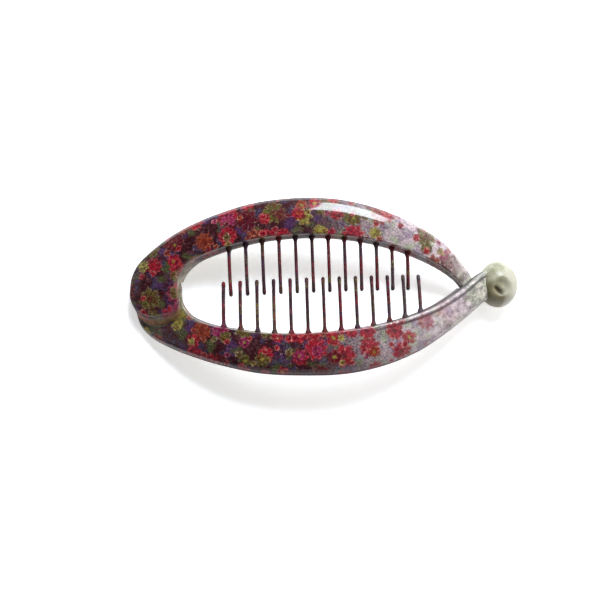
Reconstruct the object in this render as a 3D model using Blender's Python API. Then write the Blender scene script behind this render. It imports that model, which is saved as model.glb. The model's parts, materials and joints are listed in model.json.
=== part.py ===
"""Fish mouth hair clip: two bowed combs that meet at a lapped, pinned hinge and close at a round knob.

Lengths are in metres in the code and in millimetres in the tables. The clip lies on its two ends with
its rounded side up: +X runs from the hinge to the knob, +Y is the side of the upper arm, +Z is up.

Plan coordinates start at the hinge axis. Every plan point also has a height above the bow, the arc that
the clip's middle surface follows from the hinge to the knob.
"""

import math

import bmesh
import bpy
from mathutils import Matrix, Vector

MM = 0.001
GAP = 0.3 * MM

# The bow, an arc seen from the side
KNOB_X = 115.4 * MM
BOW_CENTRE_X = KNOB_X / 2
BOW_RADIUS = 163.0 * MM
HINGE_POSITION = Vector((-56.4, 0.2, 6.2)) * MM

# The section of an arm
CROWN = 0.7 * MM
OUTER_EDGE_RADIUS = 2.6 * MM
DISC_EDGE_RADIUS = 1.1 * MM
INNER_EDGE_RADIUS = 0.7 * MM
UNDER_EDGE_RADIUS = 0.8 * MM
INNER_DRAFT = 0.11
EDGE_STEPS = 3
CROWN_STEPS = 4
SPAN_STEPS = 3

# The hinge. The disc's top meets a bevel that widens it towards its middle height.
DISC_RADIUS = 8.5 * MM
DISC_TOP = 3.9 * MM
DISC_UNDER = 3.9 * MM
DISC_CHORDS = (87, 79, 69, 56, 40, 20)
BEVEL_RUN = 2.3 * MM
LAP_RADIUS = 11.6 * MM
LAP_SLOPE_RUN = 6.0 * MM
# Circles that together clear the room for the lower nose: radius, centre x, centre y
NOSE_ROOM = ((8.9, 0.0, 0.0), (10.9, -3.0, -1.2), (9.1, 0.3, -2.7))
PIN_RADIUS = 2.0 * MM
PIN_HEAD_RADIUS = 3.6 * MM
PIN_HEAD_DEPTH = 1.0 * MM
PIN_HEAD_CHAMFER = 0.3 * MM
PIN_HEAD_RECESS = 1.7 * MM
PIN_REACH = 2.3 * MM
CUTTER_REACH = 12.0 * MM
ROUND_SIDES = 32
NOSE_ROOM_SIDES = 40

# The teeth
TOOTH_HALF_WIDTH = 0.62 * MM
TOOTH_HALF_DEPTH = 1.0 * MM
TOOTH_ROOT_FLARE = 1.75
TOOTH_DEPTH_FLARE = 1.3
TOOTH_FLARE_RUN = 1.6 * MM
TOOTH_EMBED = 2.5 * MM
TOOTH_DROP = 1.2 * MM
TOOTH_ROOT_HEIGHT = -0.4 * MM
TOOTH_TIP_BULGE = 1.12
TOOTH_TIP_RUN = 0.8 * MM
TOOTH_SIDES = 8
LOWER_TEETH = 13
UPPER_TEETH = 12
TOOTH_PITCH = 5.73 * MM
LOWER_TOOTH_X = 22.5 * MM
LOWER_PITCH_LOSS = 0.0191 * MM
LOWER_TOOTH_REACH = 2.5 * MM
UPPER_TOOTH_X = 24.95 * MM
UPPER_PITCH_LOSS = 0.026 * MM
UPPER_TOOTH_REACH = 2.8 * MM

# The clasp
KNOB_CENTRE = Vector((115.5, -1.2)) * MM
KNOB_HEIGHT = 0.3 * MM
KNOB_RADII = Vector((6.6, 7.8, 6.9)) * MM
KNOB_SEGMENTS = 28
KNOB_RINGS = 16
PEG_SIDES = 16
DIMPLE_RADIUS = 5.4 * MM
DIMPLE_DEPTH = 1.5 * MM
PEG_RADIUS = 1.3 * MM
PEG_LIFT = 1.25 * MM
PEG_REACH = 3.0 * MM
PEG_ROOT = 1.5 * MM
SOCKET_ROOT = 4.0 * MM
# The room under the neck: where it stands on the bow, and its lowest and highest corners there
CLASP_ROOM_X = 105.5 * MM
CLASP_ROOM_LOW = Vector((-3.3, -6.6, -9.0)) * MM
CLASP_ROOM_HIGH = Vector((9.0, 9.0, -0.2)) * MM

# Where each arm's edges run. Columns: outer x, outer y, inner x, inner y, top, underside, share of disc.
# Rows are sections from the hinge to the clasp; top and underside are heights above the bow, and the
# share of disc fades the disc's crisp edge and bevel into the arm's own section.
UPPER_HINGE_SECTIONS = (
    (-8.5, 0.0, 8.1, 0.0, 3.9, -3.9, 1.0),
    (-8.1, 5.4, 8.5, 3.6, 3.8, -3.9, 0.8),
    (-6.0, 10.0, 9.7, 6.5, 3.7, -3.8, 0.5),
    (-2.4, 13.8, 11.7, 8.4, 3.6, -3.7, 0.2),
    (3.5, 18.0, 15.0, 10.0, 3.5, -3.6, 0.0),
    (11.4, 21.9, 19.8, 11.6, 3.5, -3.5, 0.0),
)
LOWER_HINGE_SECTIONS = (
    (-8.5, 0.0, 7.9, 0.0, 0.6, -3.9, 1.0),
    (-8.3, 5.4, 8.1, 3.4, 0.6, -3.9, 0.8),
    (-6.5, 10.4, 9.3, 6.2, 0.4, -3.8, 0.5),
    (-3.0, 14.6, 11.3, 8.3, 0.5, -3.7, 0.2),
    (3.2, 18.6, 14.8, 10.2, 1.4, -3.6, 0.0),
    (11.5, 22.4, 19.8, 12.0, 2.6, -3.5, 0.0),
)
UPPER_MIDDLE_SECTIONS = (
    (22.0, 25.9, 26.4, 13.3, 3.5, -3.5, 0.0),
    (34.5, 28.9, 36.4, 15.1, 3.5, -3.5, 0.0),
    (49.0, 29.9, 48.6, 15.7, 3.5, -3.5, 0.0),
)
LOWER_MIDDLE_SECTIONS = (
    (22.0, 26.0, 26.4, 13.4, 3.4, -3.5, 0.0),
    (34.5, 29.0, 36.4, 15.2, 3.5, -3.5, 0.0),
    (49.0, 30.2, 48.6, 15.9, 3.5, -3.5, 0.0),
)
UPPER_END_SECTIONS = (
    (63.0, 28.8, 60.5, 15.1, 3.5, -3.5, 0.0),
    (76.0, 25.1, 71.6, 13.3, 3.4, -3.5, 0.0),
    (86.9, 19.8, 81.6, 10.5, 3.2, -3.5, 0.0),
    (95.7, 14.5, 90.2, 7.1, 2.4, -3.6, 0.0),
    (101.9, 9.3, 97.1, 3.5, 0.9, -3.8, 0.0),
    (106.1, 4.9, 101.7, 0.1, -0.6, -4.0, 0.0),
    (108.2, 0.2, 104.0, -3.0, -0.6, -4.0, 0.0),
    (108.4, -3.6, 105.0, -5.2, -0.7, -3.8, 0.0),
)
LOWER_END_SECTIONS = (
    (63.0, 30.1, 60.5, 15.4, 3.5, -3.5, 0.0),
    (76.0, 27.7, 71.6, 14.2, 3.5, -3.5, 0.0),
    (87.2, 23.4, 81.8, 12.0, 3.5, -3.5, 0.0),
    (95.9, 18.1, 90.8, 8.9, 3.5, -3.6, 0.0),
    (102.2, 13.5, 98.0, 5.0, 3.5, -3.6, 0.0),
    (106.7, 9.9, 103.4, 1.2, 3.5, -3.6, 0.0),
    (109.8, 7.4, 107.6, -2.2, 3.6, -3.6, 0.0),
    (113.2, 6.4, 112.6, -4.8, 3.6, -3.6, 0.0),
)

# Colour, roughness and metallic value of each piece
FINISHES = {
    "lower_arm": ((0.24, 0.09, 0.13, 1.0), 0.18, 0.0),
    "upper_arm": ((0.26, 0.08, 0.11, 1.0), 0.18, 0.0),
    "clasp_knob": ((0.62, 0.63, 0.52, 1.0), 0.22, 0.0),
    "hinge_pin": ((0.55, 0.55, 0.56, 1.0), 0.3, 1.0),
}


def clear_scene():
    for thing in list(bpy.data.objects):
        bpy.data.objects.remove(thing, do_unlink=True)


def finish_of(name):
    colour, roughness, metallic = FINISHES[name]
    material = bpy.data.materials.new(name + "_finish")
    material.use_nodes = True
    shader = material.node_tree.nodes["Principled BSDF"]
    shader.inputs["Base Color"].default_value = colour
    shader.inputs["Roughness"].default_value = roughness
    shader.inputs["Metallic"].default_value = metallic
    return material


def bow_angle(x):
    """The bow's lean at a plan x: negative at the hinge end, positive at the knob end."""
    return math.asin((x - BOW_CENTRE_X) / BOW_RADIUS)


def bow_height(x):
    """The bow's height above the hinge's middle."""
    return BOW_RADIUS * (math.cos(bow_angle(x)) - math.cos(bow_angle(0)))


def on_bow(x, y, height):
    """A plan point and its height above the bow, as a place in the world."""
    lean = bow_angle(x)
    place = Vector((x + height * math.sin(lean), y, bow_height(x) + height * math.cos(lean)))
    return HINGE_POSITION + place


def frame_on_bow(x, y, height):
    """A matrix whose z stands square to the bow at that point."""
    return Matrix.Translation(on_bow(x, y, height)) @ Matrix.Rotation(bow_angle(x), 4, "Y")


HINGE_FRAME = frame_on_bow(0, 0, 0)


def object_from(name, mesh_data, frame, shown=True):
    """An object whose origin is at the frame, for a bmesh that is in world places."""
    mesh_data.transform(frame.inverted())
    bmesh.ops.recalc_face_normals(mesh_data, faces=mesh_data.faces)
    if mesh_data.calc_volume(signed=True) < 0:
        bmesh.ops.reverse_faces(mesh_data, faces=mesh_data.faces)
    mesh = bpy.data.meshes.new(name)
    mesh_data.to_mesh(mesh)
    mesh_data.free()
    thing = bpy.data.objects.new(name, mesh)
    thing.matrix_world = frame
    bpy.context.scene.collection.objects.link(thing)
    if shown:
        mesh.shade_smooth()
        mesh.set_sharp_from_angle(angle=math.radians(35))
        mesh.materials.append(finish_of(name))
    else:
        thing.hide_render = True
        thing.display_type = "WIRE"
    return thing


def combine(thing, other, operation):
    modifier = thing.modifiers.new(other.name, "BOOLEAN")
    modifier.object = other
    modifier.operation = operation
    modifier.solver = "EXACT"


def loft(mesh_data, rings):
    """Skins closed rings of equal count, and closes both ends with a fan."""
    rows = [[mesh_data.verts.new(point) for point in ring] for ring in rings]
    count = len(rows[0])
    for row, following in zip(rows, rows[1:]):
        for i in range(count):
            j = (i + 1) % count
            mesh_data.faces.new((row[i], row[j], following[j], following[i]))
    for row, ring in ((rows[0], rings[0]), (rows[-1], rings[-1])):
        middle = mesh_data.verts.new(sum(ring, Vector()) / count)
        for i in range(count):
            mesh_data.faces.new((row[i], row[(i + 1) % count], middle))


def eased_rows(rows, steps):
    """Rows of a table with a smooth curve run through each column."""
    found = []
    last = len(rows) - 1
    for span in range(last):
        before, start, end, after = (rows[min(max(span + k, 0), last)] for k in (-1, 0, 1, 2))
        for step in range(steps):
            t = step / steps
            found.append(tuple(
                b + 0.5 * t * (c - a + t * (2 * a - 5 * b + 4 * c - d + t * (3 * (b - c) + d - a)))
                for a, b, c, d in zip(before, start, end, after)
            ))
    found.append(rows[last])
    return found


def corner(centre_s, centre_w, radius, first, last):
    """Points of a rounded edge, from one angle to another in degrees."""
    angles = [math.radians(first + (last - first) * i / EDGE_STEPS) for i in range(EDGE_STEPS + 1)]
    return [(centre_s + radius * math.cos(a), centre_w + radius * math.sin(a)) for a in angles]


def arm_profile(width, top, under, disc_share):
    """One section of an arm: s runs from its outer edge to its inner edge, w is the height."""
    depth = top - under
    outer_radius = OUTER_EDGE_RADIUS + disc_share * (DISC_EDGE_RADIUS - OUTER_EDGE_RADIUS)
    inner_radius = INNER_EDGE_RADIUS + disc_share * (DISC_EDGE_RADIUS - INNER_EDGE_RADIUS)
    outer = min(outer_radius, 0.4 * width, 0.6 * depth)
    inner = min(inner_radius, (0.2 + 0.2 * disc_share) * width)
    below = min(UNDER_EDGE_RADIUS, 0.2 * width, 0.25 * depth)
    crown = min(CROWN, 0.08 * width)
    shoulder = top - crown
    top_inner = width - min(INNER_DRAFT * depth, 0.2 * width)
    points = corner(below, under + below, below, 270, 180)
    points += corner(outer, shoulder - outer, outer, 180, 90)
    start, end = outer, top_inner - inner
    for i in range(1, CROWN_STEPS):
        t = i / CROWN_STEPS
        points.append((start + (end - start) * t, shoulder + crown * 4 * t * (1 - t)))
    points += corner(end, shoulder - inner, inner, 90, 0)
    points += corner(width - below, under + below, below, 0, -90)
    return points


def section_ring(row, side, bevel):
    """A section's points in the world. The bevel moves the disc's wall out below its top."""
    outer_x, outer_y, inner_x, inner_y, top, under, disc_share = row
    start = Vector((outer_x, side * outer_y))
    across = Vector((inner_x, side * inner_y)) - start
    ring = []
    for s, w in arm_profile(across.length, top, under, disc_share):
        place = start + across * (s / across.length)
        fall = min(1.0, 2 * (top - w) / (top - under))
        ring.append(on_bow(place.x, place.y - side * bevel * disc_share * fall, w))
    return ring


def arm_rows(*tables):
    rows = []
    for table in tables:
        rows += [(*(value * MM for value in row[:-1]), row[-1]) for row in table]
    return eased_rows(rows, SPAN_STEPS)


def disc_rows():
    """Chords of the hinge disc's far half, from its rim towards the arm. The top falls at the rim."""
    rows = []
    for degrees in DISC_CHORDS:
        half = DISC_RADIUS * math.cos(math.radians(degrees))
        y = -DISC_RADIUS * math.sin(math.radians(degrees))
        inward = max(0.0, DISC_EDGE_RADIUS - (DISC_RADIUS + y))
        drop = DISC_EDGE_RADIUS - math.sqrt(DISC_EDGE_RADIUS ** 2 - inward ** 2)
        rows.append((-half, y, half, y, DISC_TOP - drop, -DISC_UNDER, 1.0))
    return rows


def arm_body(name, rows, side, bevel):
    body = bmesh.new()
    loft(body, [section_ring(row, side, bevel) for row in disc_rows() + rows])
    return object_from(name, body, HINGE_FRAME)


def inner_edge_y(rows, x):
    """How far an arm's inner edge is from the long axis at a plan x."""
    for row, following in zip(rows, rows[1:]):
        if row[2] <= x <= following[2]:
            share = (x - row[2]) / (following[2] - row[2])
            return row[3] + share * (following[3] - row[3])
    raise ValueError("no inner edge at this x")


def tooth_rings(x, root_y, tip_y):
    """Rings of one tooth, from inside the arm to its tip. y falls from the root to the tip."""
    length = root_y - tip_y
    stations = (
        (-TOOTH_EMBED, TOOTH_ROOT_FLARE),
        (0.1 * TOOTH_FLARE_RUN, TOOTH_ROOT_FLARE),
        (0.45 * TOOTH_FLARE_RUN, 1.25),
        (TOOTH_FLARE_RUN, 1.0),
        (0.55 * length, 1.0),
        (length - 2 * TOOTH_TIP_RUN, TOOTH_TIP_BULGE),
        (length - 0.5 * TOOTH_TIP_RUN, 0.9),
        (length, 0.35),
    )
    rings = []
    for along, size in stations:
        height = TOOTH_ROOT_HEIGHT - TOOTH_DROP * max(0.0, along / length) ** 2
        ring = []
        for i in range(TOOTH_SIDES):
            turn = 2 * math.pi * (i + 0.5) / TOOTH_SIDES
            aside = TOOTH_HALF_WIDTH * size * math.cos(turn)
            up = TOOTH_HALF_DEPTH * min(size, TOOTH_DEPTH_FLARE) * math.sin(turn)
            ring.append((x + aside, root_y - along, height + up))
        rings.append(ring)
    return rings


def comb(name, rows, side, first_x, pitch_loss, reach, count):
    """All teeth of one arm, to be joined to it. Their pitch narrows a little towards the clasp."""
    teeth = bmesh.new()
    for i in range(count):
        x = first_x + i * TOOTH_PITCH - i * i * pitch_loss
        rings = tooth_rings(x, inner_edge_y(rows, x), -reach)
        loft(teeth, [[on_bow(px, side * py, w) for px, py, w in ring] for ring in rings])
    return object_from(name, teeth, HINGE_FRAME, shown=False)


def turned(name, profile, frame, shown=False, sides=ROUND_SIDES):
    """A solid of revolution about the frame's z. The profile is (radius, height) from below."""
    body = bmesh.new()
    rings = []
    for radius, height in profile:
        turns = [2 * math.pi * i / sides for i in range(sides)]
        rings.append([frame @ Vector((radius * math.cos(a), radius * math.sin(a), height)) for a in turns])
    loft(body, rings)
    return object_from(name, body, frame, shown)


def ball(name, centre_frame, radii, shown=False):
    body = bmesh.new()
    bmesh.ops.create_uvsphere(body, u_segments=KNOB_SEGMENTS, v_segments=KNOB_RINGS, radius=1.0)
    body.transform(centre_frame @ Matrix.Diagonal((*radii, 1.0)))
    return object_from(name, body, centre_frame, shown)


def box(name, frame, low, high):
    body = bmesh.new()
    bmesh.ops.create_cube(body, size=1.0)
    size = high - low
    body.transform(frame @ Matrix.Translation((low + high) / 2) @ Matrix.Diagonal((*size, 1.0)))
    return object_from(name, body, frame, shown=False)


def floor_cutter():
    """What would reach below the surface that the clip lies on."""
    reach = 100 * MM
    return box("below_rest_plane", Matrix(), Vector((-reach, -reach, -reach)), Vector((reach, reach, 0)))


def nose_room_radius(turn):
    """How far the room for the nose reaches from the hinge axis in one direction."""
    direction = Vector((math.cos(turn), math.sin(turn)))
    reaches = []
    for radius, x, y in NOSE_ROOM:
        centre = Vector((x, y))
        along = centre.dot(direction)
        reaches.append(along + math.sqrt(radius ** 2 - centre.length_squared + along ** 2))
    return max(reaches) * MM


def lap_cutters():
    """The room above the lower arm's nose, and the room for that nose below the upper arm's disc."""
    half_gap = GAP / 2
    above = turned("room_over_nose", (
        (LAP_RADIUS, -half_gap),
        (LAP_RADIUS + LAP_SLOPE_RUN, DISC_TOP),
        (LAP_RADIUS + LAP_SLOPE_RUN, CUTTER_REACH),
    ), HINGE_FRAME)
    room = bmesh.new()
    rings = []
    for height in (-CUTTER_REACH, half_gap):
        ring = []
        for i in range(NOSE_ROOM_SIDES):
            turn = 2 * math.pi * i / NOSE_ROOM_SIDES
            radius = nose_room_radius(turn)
            ring.append(HINGE_FRAME @ Vector((radius * math.cos(turn), radius * math.sin(turn), height)))
        rings.append(ring)
    loft(room, rings)
    return above, object_from("room_for_nose", room, HINGE_FRAME, shown=False)


def pin_bores():
    far = CUTTER_REACH
    bore = PIN_RADIUS + GAP
    head = PIN_HEAD_RADIUS + GAP
    seat = -DISC_UNDER + PIN_HEAD_RECESS
    lower = turned("pin_bore_below", ((head, -far), (head, seat), (bore, seat), (bore, far)), HINGE_FRAME)
    upper = turned("pin_bore_above", ((bore, -far), (bore, PIN_REACH + GAP)), HINGE_FRAME)
    return lower, upper


def hinge_pin():
    seat = -DISC_UNDER + PIN_HEAD_RECESS - GAP
    turned("hinge_pin", (
        (PIN_HEAD_RADIUS - PIN_HEAD_CHAMFER, seat - PIN_HEAD_DEPTH),
        (PIN_HEAD_RADIUS, seat - PIN_HEAD_DEPTH + PIN_HEAD_CHAMFER),
        (PIN_HEAD_RADIUS, seat),
        (PIN_RADIUS, seat),
        (PIN_RADIUS, PIN_REACH),
    ), HINGE_FRAME, shown=True)


def knob_frame():
    return frame_on_bow(KNOB_CENTRE.x, KNOB_CENTRE.y, KNOB_HEIGHT)


def peg_frame():
    """The peg's axis, which runs from the neck into the knob."""
    return knob_frame() @ Matrix.Translation((0, 0, PEG_LIFT)) @ Matrix.Rotation(math.radians(90), 4, "Y")


def clasp_knob(floor):
    frame = knob_frame()
    knob = ball("clasp_knob", frame, KNOB_RADII, shown=True)
    lift = KNOB_RADII.z - DIMPLE_DEPTH + DIMPLE_RADIUS
    dimple = ball("knob_dimple", frame @ Matrix.Translation((0, 0, lift)), [DIMPLE_RADIUS] * 3)
    combine(knob, dimple, "DIFFERENCE")
    inside = -KNOB_RADII.x + PEG_REACH + GAP
    outside = -KNOB_RADII.x - SOCKET_ROOT
    socket_radius = PEG_RADIUS + GAP
    profile = ((socket_radius, outside), (socket_radius, inside))
    combine(knob, turned("knob_socket", profile, peg_frame(), sides=PEG_SIDES), "DIFFERENCE")
    combine(knob, floor, "DIFFERENCE")


def neck_peg():
    inside = -KNOB_RADII.x + PEG_REACH
    outside = -KNOB_RADII.x - PEG_ROOT
    return turned("neck_peg", ((PEG_RADIUS, outside), (PEG_RADIUS, inside)), peg_frame(), sides=PEG_SIDES)


def clasp_room():
    """The room under the neck for the other arm's tongue, open to the inside of the clip."""
    return box("clasp_room", frame_on_bow(CLASP_ROOM_X, 0, 0), CLASP_ROOM_LOW, CLASP_ROOM_HIGH)


def build():
    clear_scene()
    floor = floor_cutter()
    over_nose, for_nose = lap_cutters()
    lower_bore, upper_bore = pin_bores()

    lower_rows = arm_rows(LOWER_HINGE_SECTIONS, LOWER_MIDDLE_SECTIONS, LOWER_END_SECTIONS)
    lower = arm_body("lower_arm", lower_rows, -1, 0.0)
    teeth = comb("lower_comb", lower_rows, -1, LOWER_TOOTH_X, LOWER_PITCH_LOSS, LOWER_TOOTH_REACH, LOWER_TEETH)
    combine(lower, teeth, "UNION")
    combine(lower, over_nose, "DIFFERENCE")
    combine(lower, lower_bore, "DIFFERENCE")
    clearance = [radius + GAP for radius in KNOB_RADII]
    combine(lower, ball("knob_room", knob_frame(), clearance), "DIFFERENCE")
    combine(lower, clasp_room(), "DIFFERENCE")
    combine(lower, neck_peg(), "UNION")
    combine(lower, floor, "DIFFERENCE")

    upper_rows = arm_rows(UPPER_HINGE_SECTIONS, UPPER_MIDDLE_SECTIONS, UPPER_END_SECTIONS)
    upper = arm_body("upper_arm", upper_rows, 1, BEVEL_RUN)
    teeth = comb("upper_comb", upper_rows, 1, UPPER_TOOTH_X, UPPER_PITCH_LOSS, UPPER_TOOTH_REACH, UPPER_TEETH)
    combine(upper, teeth, "UNION")
    combine(upper, for_nose, "DIFFERENCE")
    combine(upper, upper_bore, "DIFFERENCE")

    hinge_pin()
    clasp_knob(floor)


build()
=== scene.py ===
"""The looks of a fish mouth hair clip: glossy combs under a small floral print, a pale knob, a plain stage.

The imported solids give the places. Each arm is skinned again here with fine sections, so that its gloss
runs smoothly, and a print is laid over it by shader nodes. Tables are in millimetres, the code in metres.
"""

import json
import math

import bmesh
import bpy
from bpy.props import FloatProperty, FloatVectorProperty, IntProperty, PointerProperty
from mathutils import Matrix, Vector


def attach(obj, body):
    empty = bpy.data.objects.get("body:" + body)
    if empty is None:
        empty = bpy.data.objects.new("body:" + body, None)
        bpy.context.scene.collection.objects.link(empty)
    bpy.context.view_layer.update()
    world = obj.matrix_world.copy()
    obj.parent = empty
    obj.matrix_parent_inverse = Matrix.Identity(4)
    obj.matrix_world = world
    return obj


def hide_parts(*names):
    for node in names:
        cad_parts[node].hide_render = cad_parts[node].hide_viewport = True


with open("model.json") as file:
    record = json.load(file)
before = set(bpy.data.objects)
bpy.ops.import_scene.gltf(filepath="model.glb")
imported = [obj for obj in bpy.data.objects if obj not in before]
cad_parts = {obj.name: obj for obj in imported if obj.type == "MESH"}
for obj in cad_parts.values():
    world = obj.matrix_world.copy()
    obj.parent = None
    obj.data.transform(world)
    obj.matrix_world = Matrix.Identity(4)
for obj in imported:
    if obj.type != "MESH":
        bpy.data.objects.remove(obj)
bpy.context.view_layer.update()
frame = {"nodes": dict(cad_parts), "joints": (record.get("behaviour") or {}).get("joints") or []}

bl_info = {
    "name": "Fish Mouth Hair Clip",
    "version": (1, 0, 0),
    "blender": (4, 5, 0),
    "location": "View3D > Sidebar > Hair Clip",
    "description": "Builds the printed arms, the knob, the pin's finish and the stage of a hinged comb clip",
    "category": "Object",
}

MM = 0.001
HINGE_POSITION = Vector(frame["joints"][0]["pos_m"])

# The bow, an arc seen from the side, and the running gap between touching pieces
KNOB_X = 115.4 * MM
BOW_CENTRE_X = KNOB_X / 2
BOW_RADIUS = 163.0 * MM
GAP = 0.3 * MM

# The hinge: how far the disc's side slopes out below, and how the lower arm rises beside the disc
BEVEL_RUN = 2.9 * MM
LAP_RADIUS = 11.6 * MM
LAP_SLOPE = 0.675
LAP_EASE = 0.8 * MM

# The disc's inner side is squarer than an ellipse where this power is under 1
DISC_SQUARENESS = 0.75

# The room in the upper arm for the lower one's nose: circles of radius, x and y, in millimetres
NOSE_ROOM = ((8.9, 0.0, 0.0), (10.9, -3.0, -1.2), (9.1, 0.3, -2.7))

# The pin's bores, and how far the cutters reach and how finely they are made
PIN_BORE_RADIUS = 2.3 * MM
PIN_BORE_TOP = 2.6 * MM
PIN_HEAD_BORE_RADIUS = 3.9 * MM
PIN_SEAT = -2.2 * MM
CUTTER_REACH = 12.0 * MM
FLOOR_CUTTER_REACH = 100 * MM
CUTTER_SIDES = 96
NOSE_ROOM_SIDES = 160

# The most that parts of a section may take: of its width, or of its width and depth
OUTER_EDGE_LIMIT = (0.4, 0.6)
INNER_EDGE_LIMIT = 0.3
UNDER_EDGE_LIMIT = (0.2, 0.25)
CROWN_LIMIT = 0.08
SHOULDER_LIMIT = 0.34
DRAFT_LIMIT = 0.2

# The domed top: how softly the shoulder meets it, how much of the dome the inner half has, and the disc loses
SHOULDER_EASE = 1.2 * MM
INNER_CROWN_SHARE = 0.35
DISC_CROWN_LOSS = 0.6

# Edges are shaded smooth up to these angles, in degrees
PART_SMOOTHING = 40.0
ARM_SMOOTHING = 38.0
KNOB_SMOOTHING = 50.0

# The clasp
KNOB_CENTRE = Vector((115.5, -1.2)) * MM
KNOB_HEIGHT = 0.3 * MM
CLASP_ROOM_X = 105.5 * MM
CLASP_ROOM_LOW = Vector((-3.3, -6.6, -9.0)) * MM
CLASP_ROOM_HIGH = Vector((9.0, 9.0, -0.2)) * MM

# The knob's dimple and gate mark, from its middle
DIMPLE_CENTRE = Vector((-1.9, -1.5)) * MM
NOTCH_CENTRE = Vector((-2.3, -2.5)) * MM
NOTCH_DIRECTION = Vector((0.74, -0.67))
NOTCH_HALF_WIDTH = 0.6 * MM
NOTCH_HALF_LENGTH = 1.7 * MM

# Where each arm's edges run. Columns: outer x, outer y, inner x, inner y, top, underside, share of disc.
UPPER_SECTIONS = (
    (-8.3, 0.0, 6.9, 0.0, 3.9, -3.9, 1.0),
    (-7.9, 5.4, 7.2, 3.6, 3.8, -3.9, 0.8),
    (-6.0, 10.0, 8.8, 6.5, 3.7, -3.8, 0.5),
    (-2.4, 13.8, 11.4, 8.4, 3.6, -3.7, 0.2),
    (3.5, 18.0, 15.0, 10.0, 3.5, -3.6, 0.0),
    (11.4, 21.9, 19.8, 11.6, 3.5, -3.5, 0.0),
    (22.0, 25.5, 26.4, 13.3, 3.5, -3.5, 0.0),
    (34.5, 28.3, 36.4, 15.1, 3.5, -3.5, 0.0),
    (49.0, 29.2, 48.6, 15.7, 3.5, -3.5, 0.0),
    (63.0, 28.1, 60.5, 15.1, 3.5, -3.5, 0.0),
    (76.0, 24.6, 71.6, 13.3, 3.4, -3.5, 0.0),
    (86.9, 19.6, 81.6, 10.5, 3.2, -3.5, 0.0),
    (95.7, 14.5, 90.2, 7.1, 2.4, -3.6, 0.0),
    (101.9, 9.3, 97.1, 3.5, 0.9, -3.8, 0.0),
    (106.1, 4.9, 101.7, 0.1, -0.6, -4.0, 0.0),
    (108.2, 0.2, 104.0, -3.0, -0.6, -4.0, 0.0),
    (108.4, -3.6, 105.0, -5.2, -0.7, -3.8, 0.0),
)
LOWER_SECTIONS = (
    (-8.5, 0.0, 7.4, 0.0, 0.6, -3.9, 1.0),
    (-8.4, 5.6, 7.8, 3.4, 0.6, -3.9, 0.8),
    (-7.0, 10.7, 9.3, 6.2, 0.4, -3.8, 0.5),
    (-3.4, 15.0, 11.3, 8.3, 0.5, -3.7, 0.2),
    (3.1, 18.8, 14.8, 10.2, 1.4, -3.6, 0.0),
    (11.5, 22.4, 19.8, 12.0, 2.6, -3.5, 0.0),
    (22.0, 26.0, 26.4, 13.4, 3.4, -3.5, 0.0),
    (34.5, 29.0, 36.4, 15.2, 3.5, -3.5, 0.0),
    (49.0, 30.2, 48.6, 15.9, 3.5, -3.5, 0.0),
    (63.0, 30.1, 60.5, 15.4, 3.5, -3.5, 0.0),
    (76.0, 27.7, 71.6, 14.2, 3.5, -3.5, 0.0),
    (87.2, 23.4, 81.8, 12.0, 3.5, -3.5, 0.0),
    (95.9, 18.1, 90.8, 8.9, 3.5, -3.6, 0.0),
    (102.2, 13.5, 98.0, 5.0, 3.5, -3.6, 0.0),
    (106.7, 9.9, 103.4, 1.2, 3.5, -3.6, 0.0),
    (109.8, 7.4, 107.6, -2.2, 3.6, -3.6, 0.0),
    (113.2, 6.4, 112.6, -4.8, 3.6, -3.6, 0.0),
)
# Columns: side of the long axis, first tooth, narrowing of the pitch, reach past the axis, number of teeth
COMBS = {
    "upper": (1, 24.95, 0.026, 2.8, 12),
    "lower": (-1, 22.5, 0.0191, 2.5, 13),
}
TOOTH_PITCH = 5.73 * MM
TOOTH_HEIGHT = -0.4 * MM
MERGE_DISTANCE = 0.002 * MM

# Along a tooth: steps of its flare, shaft, bulge and tip, the length of the bulge in tips, how much deeper
# the root is, and the step at which the tip would close
FLARE_STEPS = 6
SHAFT_STEPS = 6
BULGE_STEPS = 4
TIP_STEPS = 6
BULGE_TIPS = 3
ROOT_DEEPER = 0.3
TIP_CLOSES_AT = 6.3

# Along the clip, where the print turns pale, partly its own fade and partly a painted sheen, where it wears
# away, and how far that edge wanders
PALE_AND_SHEEN_RUN = (-8 * MM, 42 * MM)
UPPER_BARE_RUN = (46 * MM, 60 * MM)
LOWER_BARE_RUN = (30 * MM, 54 * MM)
BARE_EDGE_WANDER = 14 * MM

# Along the clip, where bare plastic turns cream, where it is tinted, and where the bevel's stain changes
CREAM_RUN = (44 * MM, 56 * MM)
TINTED_RUN = (-30 * MM, 20 * MM)
STAIN_RUN = (-60 * MM, -55 * MM)

# Where the print starts: up the sides, as a share of the depth, and on the nose, from the hinge axis
PRINT_FOOT = (0.0, 0.3)
NOSE_PRINT_START = (8.3 * MM, 8.9 * MM)

# How far shade is painted on teeth and inner walls, the stretch of the wall beside the hinge that is left
# bare and unshaded as a painted highlight, and where round the disc the inner wall ends
TOOTH_SHADE = 1.0
INNER_WALL_SHADE = 0.6
WALL_HIGHLIGHT_START = (1 * MM, 5 * MM)
WALL_HIGHLIGHT_END = (11 * MM, 16 * MM)
WALL_HIGHLIGHT_SHARE = 0.85
INNER_WALL_END = -2.0 * MM

# Where a pale highlight is painted on the lower arm's top edge at the hinge, in place of print: along the
# arm, across it, and how far
EDGE_HIGHLIGHT_START = (3 * MM, 6 * MM)
EDGE_HIGHLIGHT_END = (11.0 * MM, 18.0 * MM)
EDGE_HIGHLIGHT_INSET = 0.6
EDGE_HIGHLIGHT_WIDTH = (0.1 * MM, 0.5 * MM)
EDGE_HIGHLIGHT_SHARE = 0.8

# Where the bevel under the disc's rim is tinted, and how far in from the outer side an arm counts as steep
# and has shade painted on it
BEVEL_START = (0.3 * MM, 0.8 * MM)
BEVEL_END = (-1.0 * MM, 3.0 * MM)
STEEP_EDGE_SHADE = (0.1 * MM, 0.8 * MM)

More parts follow.
